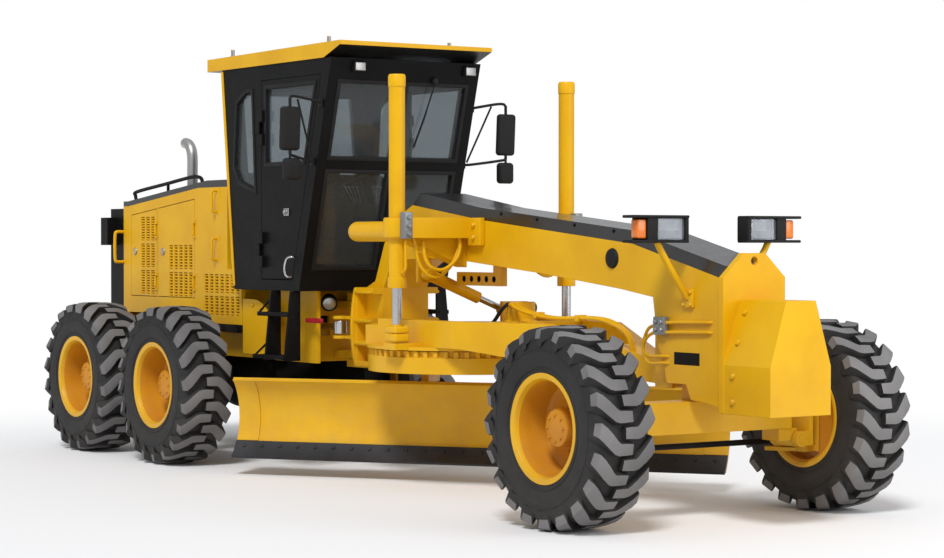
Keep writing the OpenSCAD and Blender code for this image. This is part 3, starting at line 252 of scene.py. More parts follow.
def piece(name, part, body, slot, *materials, which=None, sharp=35, replaces=()):
    """One object from a part: outward faces, smooth up to the sharp angle, riding on a body."""
    mesh = bpy.data.meshes.new(name)
    mesh.from_pydata(part[0].tolist(), [], part[1])
    work = bmesh.new()
    work.from_mesh(mesh)
    if which is not None:
        for face, index in zip(work.faces, which):
            face.material_index = int(index)
    bmesh.ops.remove_doubles(work, verts=work.verts, dist=1e-6)
    bmesh.ops.recalc_face_normals(work, faces=work.faces)
    for face in work.faces:
        face.smooth = True
    for line in work.edges:
        line.smooth = len(line.link_faces) < 2 or line.calc_face_angle(0) < math.radians(sharp)
    work.to_mesh(mesh)
    work.free()
    for material in materials:
        mesh.materials.append(material)
    thing = bpy.data.objects.new(name, mesh)
    scene.collection.objects.link(thing)
    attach(thing, body)
    if replaces:
        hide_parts(*replaces)
    return thing


def about_y(angles):
    """Turning matrices about Y for an array of angles."""
    c, s, o, l = np.cos(angles), np.sin(angles), np.zeros_like(angles), np.ones_like(angles)
    return np.stack([np.stack([c, o, s], -1), np.stack([o, l, o], -1), np.stack([-s, o, c], -1)], -2)


def lathe(profile, n=96):
    """A profile of radius and height turned round the Y axis; a closed profile gives a closed ring."""
    r, h = np.asarray(profile, float).T
    a = np.linspace(0, 2 * np.pi, n, endpoint=False)
    points = np.stack([r[:, None] * np.cos(a), np.repeat(h[:, None], n, 1), r[:, None] * np.sin(a)], -1)
    return grid(points, wrap_u=True)


tyre_r, lug_count = 0.65, 20
half = np.array([(0.3178, 0.186), (0.336, 0.193), (0.356, 0.1955), (0.4, 0.207), (0.45, 0.2145), (0.5, 0.2125),
                 (0.545, 0.206), (0.575, 0.192), (0.594, 0.166), (0.603, 0.12), (0.606, 0.06)])
casing = lathe(np.concatenate([half, half[::-1] * [1, -1]]), 120)
ribs = joined(*[lathe([(r - .006, s * (h - .003)), (r - .003, s * (h + .004)), (r + .003, s * (h + .004)),
                       (r + .006, s * (h - .003))], 96)
                for s in (-1, 1) for r, h in ((0.385, 0.2045), (0.5, 0.2115))])


def lug(side, lean):
    """One elbow lug: a tapered bar carried along a bent line on the tread. The line runs across from the middle,
    then slants round the tread to the shoulder and down the sidewall; lean gives the way it slants."""
    across = np.array([-0.03, 0.02, 0.066, 0.092, 0.135, 0.176, 0.206, 0.2165])
    round_ = np.array([0.0, 0.0, 0.0, 0.012, 0.052, 0.092, 0.12, 0.128]) * lean
    wide = np.array([0.033, 0.036, 0.037, 0.04, 0.043, 0.045, 0.046, 0.04])
    top = np.array([0.65, 0.65, 0.6498, 0.6485, 0.6455, 0.64, 0.627, 0.57])
    foot = np.array([0.6, 0.6, 0.598, 0.596, 0.588, 0.57, 0.545, 0.52])
    tilt = np.clip(np.gradient(round_, across), -1.0, 1.0)
    flanks = {-1: [], 1: []}
    for share, level in ((1.32, 0.0), (1.1, 0.82), (0.98, 0.97), (0.84, 1.0)):
        r = foot + (top - foot) * level
        for sign, flank in flanks.items():
            arc = round_ + sign * wide * share
            y = np.clip(across - sign * wide * share * tilt * 0.35, -0.05, 0.2205)
            flank.append(np.stack([r * np.sin(arc / 0.62), side * y, r * np.cos(arc / 0.62)], -1))
    return grid(np.stack(flanks[-1] + flanks[1][::-1], 1), caps=True)


def whole_tyre(lean):
    """Casing, sidewall ribs and both rows of lugs; which says where the worn lug tops are."""
    pitch = 2 * np.pi / lug_count
    turns = np.arange(lug_count) * pitch
    rows = [copies(lug(side, lean), np.zeros((lug_count, 3)), about_y(turns + (pitch / 2 if side > 0 else 0)))
            for side in (-1, 1)]
    parts = [casing, ribs, *rows]
    which = np.zeros(sum(len(f) for _, f in parts), int)
    n = len(lug(1, 1)[1])
    worn = (np.arange(n) < n - 2) & np.isin(np.arange(n) % 8, (2, 3, 4))
    which[len(casing[1]) + len(ribs[1]):] = np.tile(worn, 2 * lug_count)
    return joined(*parts), which


both_sides = ((-1, "r"), (1, "l"))
half_track = 1.0775
wheel_places = {end + side: (x, s * half_track, lean)
                for end, x, lean in (("f", 3.43, 1), ("m", -2.105, -1), ("r", -3.635, -1)) for s, side in both_sides}
for key, (x, y, lean) in wheel_places.items():
    (points, faces), which = whole_tyre(-lean)
    start_angle = about_y(np.array([0.22 + 0.07 * x]))[0]
    points = points @ start_angle.T + (x, y, tyre_r)
    piece(f"tyre_{key}_shape", (points, faces), f"wheel_{key}_body", "tyre", rubber, lug_top, which=which,
          replaces=(f"tyre_{key}",))

# Rims: rolled steel with a flange at each edge, a deep dish and a disc near the
# inner side, held to the hub by a ring of nuts.
# Painted shade: the dish and disc deep inside the rim take a darker orange-brown for the shade that falls there, over
# the same grey dust low down as the frame.
painted_dish_shade = enamel("painted_dish_shade_enamel", (0.66, 0.28, 0.004), (0.55, 0.21, 0.003), dust=0.3, shine=0.16)
dish = np.array([(0.3535, 0.2), (0.3535, 0.192), (0.348, 0.187), (0.332, 0.186), (0.3172, 0.184), (0.3172, -0.184),
                 (0.332, -0.186), (0.348, -0.187), (0.3535, -0.192), (0.3535, -0.2), (0.346, -0.2), (0.318, -0.193),
                 (0.3, -0.176), (0.3, -0.095), (0.0605, -0.095), (0.0605, 0.078), (0.0, 0.078), (0.0, 0.095),
                 (0.1, 0.095), (0.118, 0.088), (0.125, 0.072), (0.125, -0.045), (0.135, -0.058), (0.2, -0.066),
                 (0.255, -0.06), (0.285, -0.035), (0.297, 0.02), (0.3, 0.1), (0.304, 0.165), (0.318, 0.193),
                 (0.346, 0.2)])
wheel_nut = np.array([(0.0, 0.026), (0.012, 0.026), (0.015, 0.022), (0.0165, 0.0), (0.0, 0.0)])
cap_bolt = np.array([(0, 0.012), (0.008, 0.012), (0.01, 0.0), (0, 0.0)])


def ring_of(count, radius):
    """Places evenly spaced on a circle about the Y axis."""
    a = np.arange(count) * 2 * np.pi / count
    return np.stack([radius * np.cos(a), np.zeros(count), radius * np.sin(a)], 1)


for key, (x, y, lean) in wheel_places.items():
    s = np.sign(y)
    nuts = copies(lathe(wheel_nut * [1, s] + [0, -0.064 * s], 6), ring_of(10, 0.17))
    cap_bolts = copies(lathe(cap_bolt * [1, s] + [0, 0.0945 * s], 6), ring_of(8, 0.085))
    points, faces = joined(lathe(dish * [1, s], 96), nuts, cap_bolts)
    # Faces deep inside the rim take the painted shade.
    deep = [points[f, 1].mean() * s < 0.155 and np.hypot(*points[f][:, [0, 2]].mean(0)) < 0.31 for f in faces]
    piece(f"rim_{key}_shape", (points + (x, y, tyre_r), faces), f"wheel_{key}_body", "yellow_paint", yellow, painted_dish_shade,
          which=deep, replaces=(f"rim_{key}",))


# Engine hood: pressed side doors with columns of air slots and round flush locks,
# two grab handles ahead of the doors, and a tube loop at each rear corner.
def tube(path, radius, n=14, up=None):
    """A round profile carried along a path: at each point a ring square to the path's direction."""
    path = np.asarray(path, float)
    way = np.gradient(path, axis=0)
    way /= np.linalg.norm(way, axis=1)[:, None]
    up = np.eye(3)[np.argmin(np.abs(way).max(0))] if up is None else np.asarray(up, float)
    side = np.cross(way, up)
    side /= np.linalg.norm(side, axis=1)[:, None]
    over = np.cross(side, way)
    a = np.linspace(0, 2 * np.pi, n, endpoint=False)[None, :, None]
    r = np.broadcast_to(np.asarray(radius, float).reshape(-1, 1, 1), (len(path), 1, 1))
    return grid(path[:, None] + r * (np.cos(a) * side[:, None] + np.sin(a) * over[:, None]), caps=True)


def bend(points, n=7):
    """A smooth line through points: each stretch is a cubic that leaves and meets its points along the chord between
    their neighbours."""
    p = np.asarray(points, float)
    p = np.concatenate([2 * p[:1] - p[1:2], p, 2 * p[-1:] - p[-2:-1]])
    t = np.linspace(0, 1, n, endpoint=False)[None, :, None]
    a, b, c, d = p[:-3, None], p[1:-2, None], p[2:-1, None], p[3:, None]
    line = 0.5 * (2 * b + (c - a) * t + (2 * a - 5 * b + 4 * c - d) * t**2 + (3 * b - a - 3 * c + d) * t**3)
    return np.concatenate([line.reshape(-1, 3), p[-2:-1]])


def block(low, high, r=0.006, n=3):
    """A box with round edges: rounded rectangles stacked along Z, each drawn in by a quarter circle at the ends."""
    low, high = np.minimum(low, high).astype(float), np.maximum(low, high).astype(float)
    size = high - low
    r = min(r, 0.49 * size.min())
    a = np.linspace(0.12, np.pi / 2, n + 1)
    rise = np.concatenate([r * (1 - np.cos(a)), size[2] - r * (1 - np.cos(a[::-1]))])
    inset = np.concatenate([r * (1 - np.sin(a)), r * (1 - np.sin(a[::-1]))])
    corner = np.linspace(0, np.pi / 2, n + 1)
    angle = np.concatenate([corner + k * np.pi / 2 for k in range(4)])
    sx = np.repeat([1, -1, -1, 1], n + 1) * (size[0] / 2 - r)
    sy = np.repeat([1, 1, -1, -1], n + 1) * (size[1] / 2 - r)
    reach = (r - inset)[:, None]
    x = (low[0] + high[0]) / 2 + sx + reach * np.cos(angle)
    y = (low[1] + high[1]) / 2 + sy + reach * np.sin(angle)
    z = np.repeat((low[2] + rise)[:, None], len(angle), 1)
    return grid(np.stack([x, y, z], -1), caps=True)


def moved(part, at, turn=np.eye(3)):
    """A part turned, or mirrored, and then carried to a place."""
    return part[0] @ turn.T + at, part[1]


def along_axis(axis):
    """The turn that carries Y onto an axis."""
    y = np.asarray(axis, float) / np.linalg.norm(axis)
    x = np.cross(y, [0, 0, 1.0]) if abs(y[2]) < 0.9 else np.cross(y, [1.0, 0, 0])
    x /= np.linalg.norm(x)
    return np.stack([x, y, np.cross(x, y)], 1)


def hex_heads(places, axis, r=0.013, h=0.011):
    """Hexagon bolt heads with chamfered tops on a washer, one at each place, standing out along axis."""
    head = lathe([(0, h), (0.78 * r, h), (r, 0.72 * h), (r, 0.2 * h), (1.25 * r, 0.2 * h), (1.25 * r, 0), (0, 0)], 6)
    return copies(moved(head, 0, along_axis(axis)), places)


# Painted shade: a matte near-black for the insides of grille slots, holes and openings, where shade falls.
dark = enamel("painted_hole_shade", (0.006, 0.006, 0.006), (0.004, 0.004, 0.004), rough=0.9, edge=0, coat=0)
bolt_steel = enamel("plated_bolt", (0.45, 0.45, 0.44), (0.36, 0.35, 0.34), rough=0.35, edge=0.001, metal=0.9, coat=0)


def grille(x, z, columns, split, bars, y):
    """Flat yellow bars across each column of a grille, and behind them a matte black sheet a few centimetres in,
    painted shade for the dark inside of the hood.
    """
    s, gap = np.sign(y), 0.03
    wide = (x[1] - x[0] + gap) / columns
    tall = (z[1] - z[0] + gap) / split
    bar = block((0, -0.006, -0.0068), (wide - gap + 0.006, 0.006, 0.0068), 0.002, 1)
    rise = np.concatenate([z[0] + k * tall + (np.arange(bars) + 0.5) * (tall - gap) / bars for k in range(split)])
    gx, gz = np.meshgrid(x[0] - 0.003 + wide * np.arange(columns), rise)
    slats = copies(bar, np.stack([gx.ravel(), np.full(gx.size, y - s * 0.012), gz.ravel()], 1))
    slot_shade_sheet = block((x[0] - 0.02, y - s * 0.047, z[0] - 0.02), (x[1] + 0.02, y - s * 0.041, z[1] + 0.02), 0.002, 1)
    return slats, slot_shade_sheet


def in_yellow(name, part, body, replaces=()):
    """A piece in the frame's yellow."""
    piece(name, part, body, "yellow_paint", yellow, replaces=replaces)


hood_y = 0.6
latch = joined(lathe([(0.0, 0.004), (0.018, 0.004), (0.02, 0.009), (0.031, 0.009), (0.034, 0.004), (0.034, 0),
                      (0, 0)], 32), block((-0.005, 0.003, -0.016), (0.005, 0.01, 0.016), 0.003))
grip_line = ((0, 0), (0.045, 0.012), (0.05, 0.09), (0.045, 0.17), (0, 0.182))
loop_line = ((0.6, 1.92), (0.66, 1.92), (0.685, 1.89), (0.685, 1.68), (0.66, 1.65), (0.6, 1.65))
for s, side in both_sides:
    y = s * hood_y
    rear_door, front_door = f"hood_door_{side}r_body", f"hood_door_{side}f_body"
    for name, body, x, z, columns, split, bars in (
            ("r", rear_door, (-3.707, -3.44), (1.37, 2.05), 3, 3, 9),
            ("f", front_door, (-3.148, -2.711), (1.36, 1.8), 5, 2, 8),
            ("s", "rear_body", (-2.48, -1.86), (1.215, 1.555), 7, 2, 6)):
        slats, slot_shade_sheet = grille(x, z, columns, split, bars, y)
        in_yellow(f"grille_{side}{name}", slats, body)
        # The black sheet behind the bars is painted shade for the inside of the hood.
        piece(f"screen_{side}{name}", slot_shade_sheet, body, "black_paint", dark)
    for x, body in ((-3.826, rear_door), (-3.268, front_door)):
        piece(f"lock_{body[:-5]}", moved(latch, (x, y, 1.745), np.diag([1, s, 1])), body, "bare_steel", bolt_steel)
    for k, z in enumerate((1.677, 2.08)):
        plate = block((-2.285, y - s * 0.004, z - 0.02), (-2.225, y + s * 0.003, z + 0.2), 0.003)
        grip = tube(bend([(-2.255, y + s * out, z + up) for out, up in grip_line]), 0.01)
        in_yellow(f"grab_{side}{k}", joined(plate, grip), "rear_body")
    loop = tube(bend([(-4.07, s * out, z) for out, z in loop_line]), 0.014)
    in_yellow(f"corner_loop_{side}", loop, "rear_body")

# Steps and hood rails: low hoops of black tube along the hood's edges, and on each
# side a ladder of two flat stringers with grip treads below the cab door.
hoop_line = ((-3.885, 2.197), (-3.905, 2.245), (-3.87, 2.28), (-3.3, 2.338), (-2.82, 2.386), (-2.7, 2.388),
             (-2.62, 2.372), (-2.592, 2.33))
for s, side in both_sides:
    y = s * 0.56
    hoop = [tube(bend([(x, y, z) for x, z in hoop_line], 9), 0.016, up=(0, 1, 0)),
            tube([(-3.25, y, 2.25), (-3.25, y, 2.342)], 0.014, up=(0, 1, 0))]
    feet = [block((x - 0.03, y - 0.028, z), (x + 0.03, y + 0.028, z + 0.008), 0.003)
            for x, z in ((-3.885, 2.196), (-3.25, 2.257), (-2.592, 2.322))]
    stringers = []
    for x in (-1.1, -0.784):
        plate = block((x, s * 0.64, 0.888), (x + 0.024, s * 0.795, 1.44), 0.005)
        high = np.clip((plate[0][:, 2] - 1.0) / 0.44, 0, 1)
        out = np.abs(plate[0][:, 1]) > 0.72
        plate[0][:, 1] -= s * out * (0.01 + 0.055 * high)
        stringers.append(plate)
    treads, teeth = [], []
    for z, reach in ((0.93, 0.8), (1.27, 0.76)):
        treads += [block((-1.26, s * 0.655, z - 0.034), (-0.76, s * 0.672, z), 0.004),
                   block((-1.26, s * (reach - 0.016), z - 0.034), (-0.76, s * reach, z), 0.004),
                   *[block((x, s * 0.66, z - 0.03), (x + 0.012, s * (reach - 0.004), z - 0.003), 0.002, 1)
                     for x in np.linspace(-1.255, -0.777, 13)],
                   tube([(-1.25, s * (reach - 0.01), z - 0.015), (-1.12, s * 0.66, z + 0.16)], 0.009)]
        teeth.append(copies(block((-0.006, -0.006, -0.004), (0.006, 0.006, 0.0), 0.002, 1),
                            [(x, s * (reach - 0.008), z) for x in np.linspace(-1.24, -0.78, 18)]))
    for name, parts in ((f"steps_{side}", stringers + treads + teeth), (f"hood_rail_{side}", hoop + feet)):
        piece(name, joined(*parts), "rear_body", "black_paint", black, replaces=("steps_and_rails",))


# Frame sides below the cab: a yellow plate with a round front corner closes the gap
# behind the ladder, and a round work lamp hangs under the cab's front edge.
def plate_of(outline, y0, y1, r=0.004):
    """A flat plate in the length and height plane with a small chamfer: the outline, drawn in a little at both
    faces."""
    p = np.asarray(outline, float)
    mid = p.mean(0)
    near = p + (mid - p) / np.linalg.norm(mid - p, axis=1)[:, None] * r
    s = np.sign(y1 - y0)
    rings = [(near, y0), (p, y0 + s * r), (p, y1 - s * r), (near, y1)]
    return grid(np.stack([np.stack([q[:, 0], np.full(len(q), y), q[:, 1]], 1) for q, y in rings]), caps=True)


corner = np.linspace(np.pi / 2, 0, 12)
fender = [(-1.8, 1.36), *zip(-1.62 + 0.335 * np.cos(corner), 1.05 + 0.31 * np.sin(corner)), (-1.285, 0.905),
          (-1.8, 0.905)]
fender_bolts = ((-1.35, 0.96), (-1.35, 1.05), (-1.5, 1.29), (-1.62, 1.31))
head = lathe([(0, 0.0), (0.035, 0.002), (0.058, 0.02), (0.066, 0.055), (0.066, 0.095), (0.06, 0.098), (0.056, 0.09),
              (0, 0.088)], 32)
glow_lens = lathe([(0, 0.086), (0.056, 0.086), (0.05, 0.096), (0.03, 0.104), (0, 0.107)], 32)
for s, side in both_sides:
    bolts = hex_heads([(x, s * hood_y, z) for x, z in fender_bolts], (0, s, 0), 0.014, 0.012)
    in_yellow(f"frame_fender_{side}", joined(plate_of(fender, s * 0.585, s * hood_y), bolts), "rear_body")
    at, aim = (-0.86, s * 0.325, 1.37), along_axis((0.8, s * 0.42, -0.36))
    piece(f"under_lamp_{side}", moved(head, at, aim), "rear_body", "black_plastic", black)
    piece(f"under_lens_{side}", moved(glow_lens, at, aim), "rear_body", "glass", bolt_steel)


# Exhaust: thin steel pipe, bright where it leaves the hood, bent rearward with
# an open slanted end, and a flat flange at its foot.
def stand(profile, place, n=40):
    """A turned part standing upright at a place."""
    part = lathe(profile, n)
    return part[0][:, [0, 2, 1]] + place, part[1]


pipe_x, pipe_y = -3.43, -0.23
pipe_line = bend([(x, pipe_y, z) for x, z in ((pipe_x, 2.1), (pipe_x, 2.45), (pipe_x, 2.57), (-3.452, 2.65),
                                              (-3.505, 2.7), (-3.57, 2.715))], 9)
outer, inner = [tube(pipe_line, r, 28, up=(0, 1, 0))[0].reshape(-1, 28, 3) for r in (0.047, 0.042)]
pipe = grid(np.concatenate([outer, inner[::-1]]), wrap_u=True)
collar = stand([(0.048, 0), (0.085, 0), (0.085, 0.012), (0.06, 0.016), (0.056, 0.05), (0.048, 0.05)],
               (pipe_x, pipe_y, 2.245), 32)
steel_pipe = enamel("pipe_steel", (0.5, 0.5, 0.49), (0.36, 0.35, 0.33), rough=0.38, peel=0.15, edge=0, metal=0.9,
                    coat=0)
piece("exhaust_pipe", joined(pipe, collar), "rear_body", "bare_steel", steel_pipe, replaces=("exhaust",))

# Tail lamps: red and amber lenses of moulded plastic on the boxes at the rear
# corners, the red one below.
red_lens = enamel("red_lens", (0.45, 0.01, 0.01), (0.36, 0.008, 0.008), rough=0.15, edge=0.002, coat=0.8)
amber_lens = enamel("amber_lens", (0.8, 0.2, 0.01), (0.7, 0.16, 0.01), rough=0.15, edge=0.002, coat=0.8)
for s, side in both_sides:
    for k, (z, lens) in enumerate(((1.815, red_lens), (1.945, amber_lens))):
        cap = block((-4.345, s * 0.61, z), (-4.334, s * 0.69, z + 0.095), 0.005)
        piece(f"tail_lens_{side}{k}", cap, "rear_body", "black_plastic", lens)


# Cab: a black box of folded sheet on four posts. Rubber beads hold the panes, and
# a yellow strip runs down each rear post.
def bead(corners, normal, depth=0.02, wide=0.03, lift=0.008):
    """A flat rubber bead round a flat opening: the outline and the same outline drawn in, joined over a low ridge."""
    p = np.asarray(corners, float)
    n = np.asarray(normal, float) / np.linalg.norm(normal)
    before, after = np.roll(p, 1, 0) - p, np.roll(p, -1, 0) - p
    before /= np.linalg.norm(before, axis=1)[:, None]
    after /= np.linalg.norm(after, axis=1)[:, None]
    inward = before + after
    inward /= np.linalg.norm(np.cross(before, after), axis=1)[:, None] + 1e-9
    ridge = ((-0.5, -depth), (-0.5, lift * 0.6), (-0.2, lift), (0.3, lift), (0.5, lift * 0.5), (0.5, -depth))
    return grid(np.stack([p + inward * wide * across + n * up for across, up in ridge], 1), wrap_u=True)


def cab_front(z):
    """Front edge of the cab at height z."""
    return -0.7 + 0.51 * (z - 1.44) / 1.81


def cab_rear(z):
    """Rear edge of the cab at height z."""
    return -1.78 - 0.21 * (z - 1.44) / 1.81


def on_front(out, y, z):
    """A point that far out from the cab's front."""
    return cab_front(z) + out, y, z


seal = enamel("window_rubber", (0.01, 0.01, 0.011), (0.007, 0.007, 0.007), rough=0.65, peel=0.3, edge=0, coat=0)
cab_y, sill, lintel = 0.69, 2.45, 3.07
slope = np.array([1.81, 0, -0.51])
quarter = ((-1.776, 2.444), (-1.693, 2.316), (-1.408, 2.232), (-1.461, 3.06), (-1.575, 3.055), (-1.731, 2.969))
door_pane = ((-1.24, sill), (cab_front(sill) - 0.195, sill), (cab_front(lintel) - 0.195, lintel), (-1.24, lintel))
pull_line = ((-0.74, 0.69, 1.7), (-0.745, 0.735, 1.71), (-0.8, 0.745, 1.69), (-0.83, 0.745, 1.62),
             (-0.82, 0.735, 1.56), (-0.81, 0.69, 1.55))
lamp = block((0, -0.055, -0.04), (0.05, 0.055, 0.04), 0.012)
lens = block((0.048, -0.045, -0.031), (0.054, 0.045, 0.031), 0.008)
for s, side in both_sides:
    door = f"door_{'right' if s < 0 else 'left'}_body"
    panes = [bead([on_front(0, s * y, z) for y, z in ((0.03, low), (0.59, low), (0.59, high), (0.03, high))], slope)
             for low, high in ((1.62, 2.38), (2.48, lintel))]
    panes.append(bead([(x, s * cab_y, z) for x, z in quarter], (0, s, 0)))
    piece(f"pane_beads_{side}", joined(*panes), "rear_body", "black_plastic", seal)
    piece(f"door_bead_{side}", bead([(x, s * cab_y, z) for x, z in door_pane], (0, s, 0)), door, "black_plastic", seal)
    knob = lathe(np.array([(0, 0.02), (0.016, 0.02), (0.019, 0.015), (0.019, 0), (0, 0)]) * [1, s], 24)
    lock = joined(block((-0.93, s * cab_y, 2.035), (-0.85, s * 0.7, 2.095), 0.004),
                  moved(knob, (-0.89, s * 0.7, 2.065)))
    piece(f"door_lock_{side}", lock, door, "bare_steel", bolt_steel)
    pull = tube(bend([(x, s * y, z) for x, y, z in pull_line]), 0.01)
    piece(f"door_pull_{side}", pull, door, "bare_steel", chrome)
    strip, faces = block((-0.012, s * 0.685, 0), (0.02, s * 0.698, 1), 0.004)
    height = strip[:, 2] * (3.24 - 1.47) + 1.47
    strip = np.stack([strip[:, 0] + cab_rear(height) + 0.004, strip[:, 1], height], 1)
    in_yellow(f"rear_strip_{side}", (strip, faces), "rear_body")
    at = (cab_front(3.17) - 0.01, -0.44 if s < 0 else 0.585, 3.185)
    piece(f"work_lamp_{side}", moved(lamp, at), "rear_body", "black_plastic", seal)
    piece(f"work_lens_{side}", moved(lens, at), "rear_body", "glass", bolt_steel)

arm = tube([on_front(0.03, 0.27, 3.09), on_front(0.022, 0.2, 2.72)], 0.006, 8)
wiper_blade = tube([on_front(0.016, 0.235, 2.86), on_front(0.016, 0.165, 2.58)], 0.008, 8)
motor_cap, faces = lathe([(0, 0.03), (0.022, 0.03), (0.028, 0.02), (0.028, 0), (0, 0)], 20)
motor_cap = (motor_cap[:, [1, 0, 2]] + on_front(0.005, 0.272, 3.1), faces)
piece("wiper", joined(arm, wiper_blade, motor_cap), "rear_body", "black_plastic", seal)
stud = stand([(0, 0.062), (0.013, 0.0615), (0.0158, 0.058), (0.0158, 0.008), (0.024, 0.006), (0.024, 0.001),
              (0, 0.001)], (0, 0, 0), 16)
piece("roof_studs", copies(stud, [(x, y, 3.37) for x in (-2.04, -0.45) for y in (-0.56, 0.56)]), "rear_body",
      "bare_steel", bolt_steel)

# Seat: a suspension base in a rubber bellows, a crowned foam cushion and a back
# with a head rest, all in black cloth; the back's side bolsters are left out.
cloth = enamel("seat_cloth", (0.02, 0.02, 0.022), (0.013, 0.013, 0.014), rough=0.85, peel=0.6, edge=0, coat=0)


def cushion(low, high, p=3.0, crown=0.0):
    """A padded block: every direction from the middle is scaled until the sum of its parts to the power p is one; crown
    lifts the middle of the top in a parabola."""
    low, high = np.asarray(low, float), np.asarray(high, float)
    la = np.linspace(-1.52, 1.52, 25)[:, None]
    lo = np.linspace(0, 2 * np.pi, 40, endpoint=False)[None]
    d = np.stack([np.cos(la) * np.cos(lo), np.cos(la) * np.sin(lo), np.sin(la) + 0 * lo], -1)
    d /= (np.abs(d) ** p).sum(-1, keepdims=True) ** (1 / p)
    d[..., 2] *= 1 + crown * (1 - 0.5 * (d[..., 0]**2 + d[..., 1]**2)) * (d[..., 2] > 0)
    return grid((low + high) / 2 + d * (high - low) / 2, caps=True)


def swell(pad, voxel=0.006, cap=0.012, pressure=4, steps=20):
    """Blows a pad up as cloth under pressure: an even remesh is stepped through some frames with no gravity, and no
    point moves further than the cap."""
    work = bpy.data.objects.new("pad_work", pad.data.copy())
    scene.collection.objects.link(work)
    even = work.modifiers.new("even", "REMESH")
    even.mode, even.voxel_size = "VOXEL", voxel
    start = bpy.data.meshes.new_from_object(work.evaluated_get(bpy.context.evaluated_depsgraph_get()))
    work.modifiers.clear()
    work.data = start
    soft = work.modifiers.new("soft", "CLOTH").settings
    soft.use_pressure = True
    soft.uniform_pressure_force = pressure
    soft.effector_weights.gravity = 0
    for step in range(steps):
        scene.frame_set(step + 1)
    blown = work.evaluated_get(bpy.context.evaluated_depsgraph_get()).to_mesh()
    before, after = [np.array([tuple(v.co) for v in mesh.vertices]) for mesh in (start, blown)]
    move = after - before
    far = np.linalg.norm(move, axis=1, keepdims=True)
    points = before + move * np.minimum(1, cap / np.maximum(far, 1e-9))
    faces = [tuple(face.vertices) for face in start.polygons]
    pad.data.clear_geometry()
    pad.data.from_pydata(points.tolist(), [], faces)
    pad.data.polygons.foreach_set("use_smooth", [True] * len(faces))
    bpy.data.objects.remove(work)
    scene.frame_set(1)
    return pad


folds = [(0.15 - 0.01 * (k % 2), 1.5 + 0.0225 * k) for k in range(9)]
bellows = stand([(0, 1.5), *folds, (0, 1.68)], (0, 0, 0))
piece("seat_base", moved(bellows, (-1.305, 0, 0), np.diag([1.35, 1.05, 1])), "rear_body", "black_plastic", seal,
      replaces=("seat",))
slack = 0.006
for name, low, high, crown in (("seat_cushion", (-1.5, -0.24, 1.68), (-1.07, 0.24, 1.835), 0.1),
                               ("seat_back", (-1.54, -0.235, 1.79), (-1.41, 0.235, 2.31), 0.0),
                               ("seat_head", (-1.535, -0.14, 2.3), (-1.425, 0.14, 2.48), 0.0)):
    form = cushion(np.array(low) + slack, np.array(high) - slack, 3.4, crown)
    pad = piece(name, form, "rear_body", "seat_cloth", cloth, replaces=("seat",))
    swell(pad)

# Console: a tapered pedestal with the tilted steering wheel and two rows of blade
# levers, each a thin steel rod with a round knob.
foot = block((-0.86, -0.13, 1.5), (-0.745, 0.13, 2.145), 0.02, 4)
taper = np.clip((foot[0][:, 2] - 1.5) / 0.65, 0, 1)[:, None]
foot = (foot[0] * [1, 0, 1] + foot[0] * [0, 1, 0] * (0.62 + 0.38 * taper), foot[1])
hub = np.array([-0.83, 0, 2.15])
rim_r, rim_thick = 0.19, 0.016
u, v = np.meshgrid(*[np.linspace(0, 2 * np.pi, n, endpoint=False) for n in (48, 12)], indexing="ij")
rim_reach = rim_r + rim_thick * np.cos(v)
rim_ring = grid(np.stack([rim_reach * np.cos(u), rim_reach * np.sin(u), 0.13 + rim_thick * np.sin(v)], -1), wrap_u=True)
spokes = [tube([(0, 0, 0.115), (0.18 * np.cos(t), 0.18 * np.sin(t), 0.13)], 0.011) for t in (1.57, 3.67, 5.76)]
boss = stand([(0, -0.03), (0.028, -0.03), (0.028, 0.1), (0.045, 0.11), (0.045, 0.135), (0.03, 0.142), (0, 0.142)],
             (0, 0, 0), 24)
wheel = moved(joined(rim_ring, *spokes, boss), hub, about_y(np.array([-math.pi / 6]))[0])
piece("console_shape", joined(foot, wheel), "rear_body", "black_plastic", seal, replaces=("console",))
knob = lathe([(0.012 * np.cos(t), 0.012 * np.sin(t)) for t in np.linspace(-1.4, 1.5, 7)], 12)
levers = []
for s in (-1, 1):
    for k in range(4):
        low, high = (-0.8, s * (0.062 + 0.02 * k), 2.14), (-0.84, s * (0.075 + 0.038 * k), 2.27)
        levers += [tube([low, high], 0.004, 8), moved(knob, high)]
piece("blade_levers", joined(*levers), "rear_body", "black_plastic", bolt_steel)

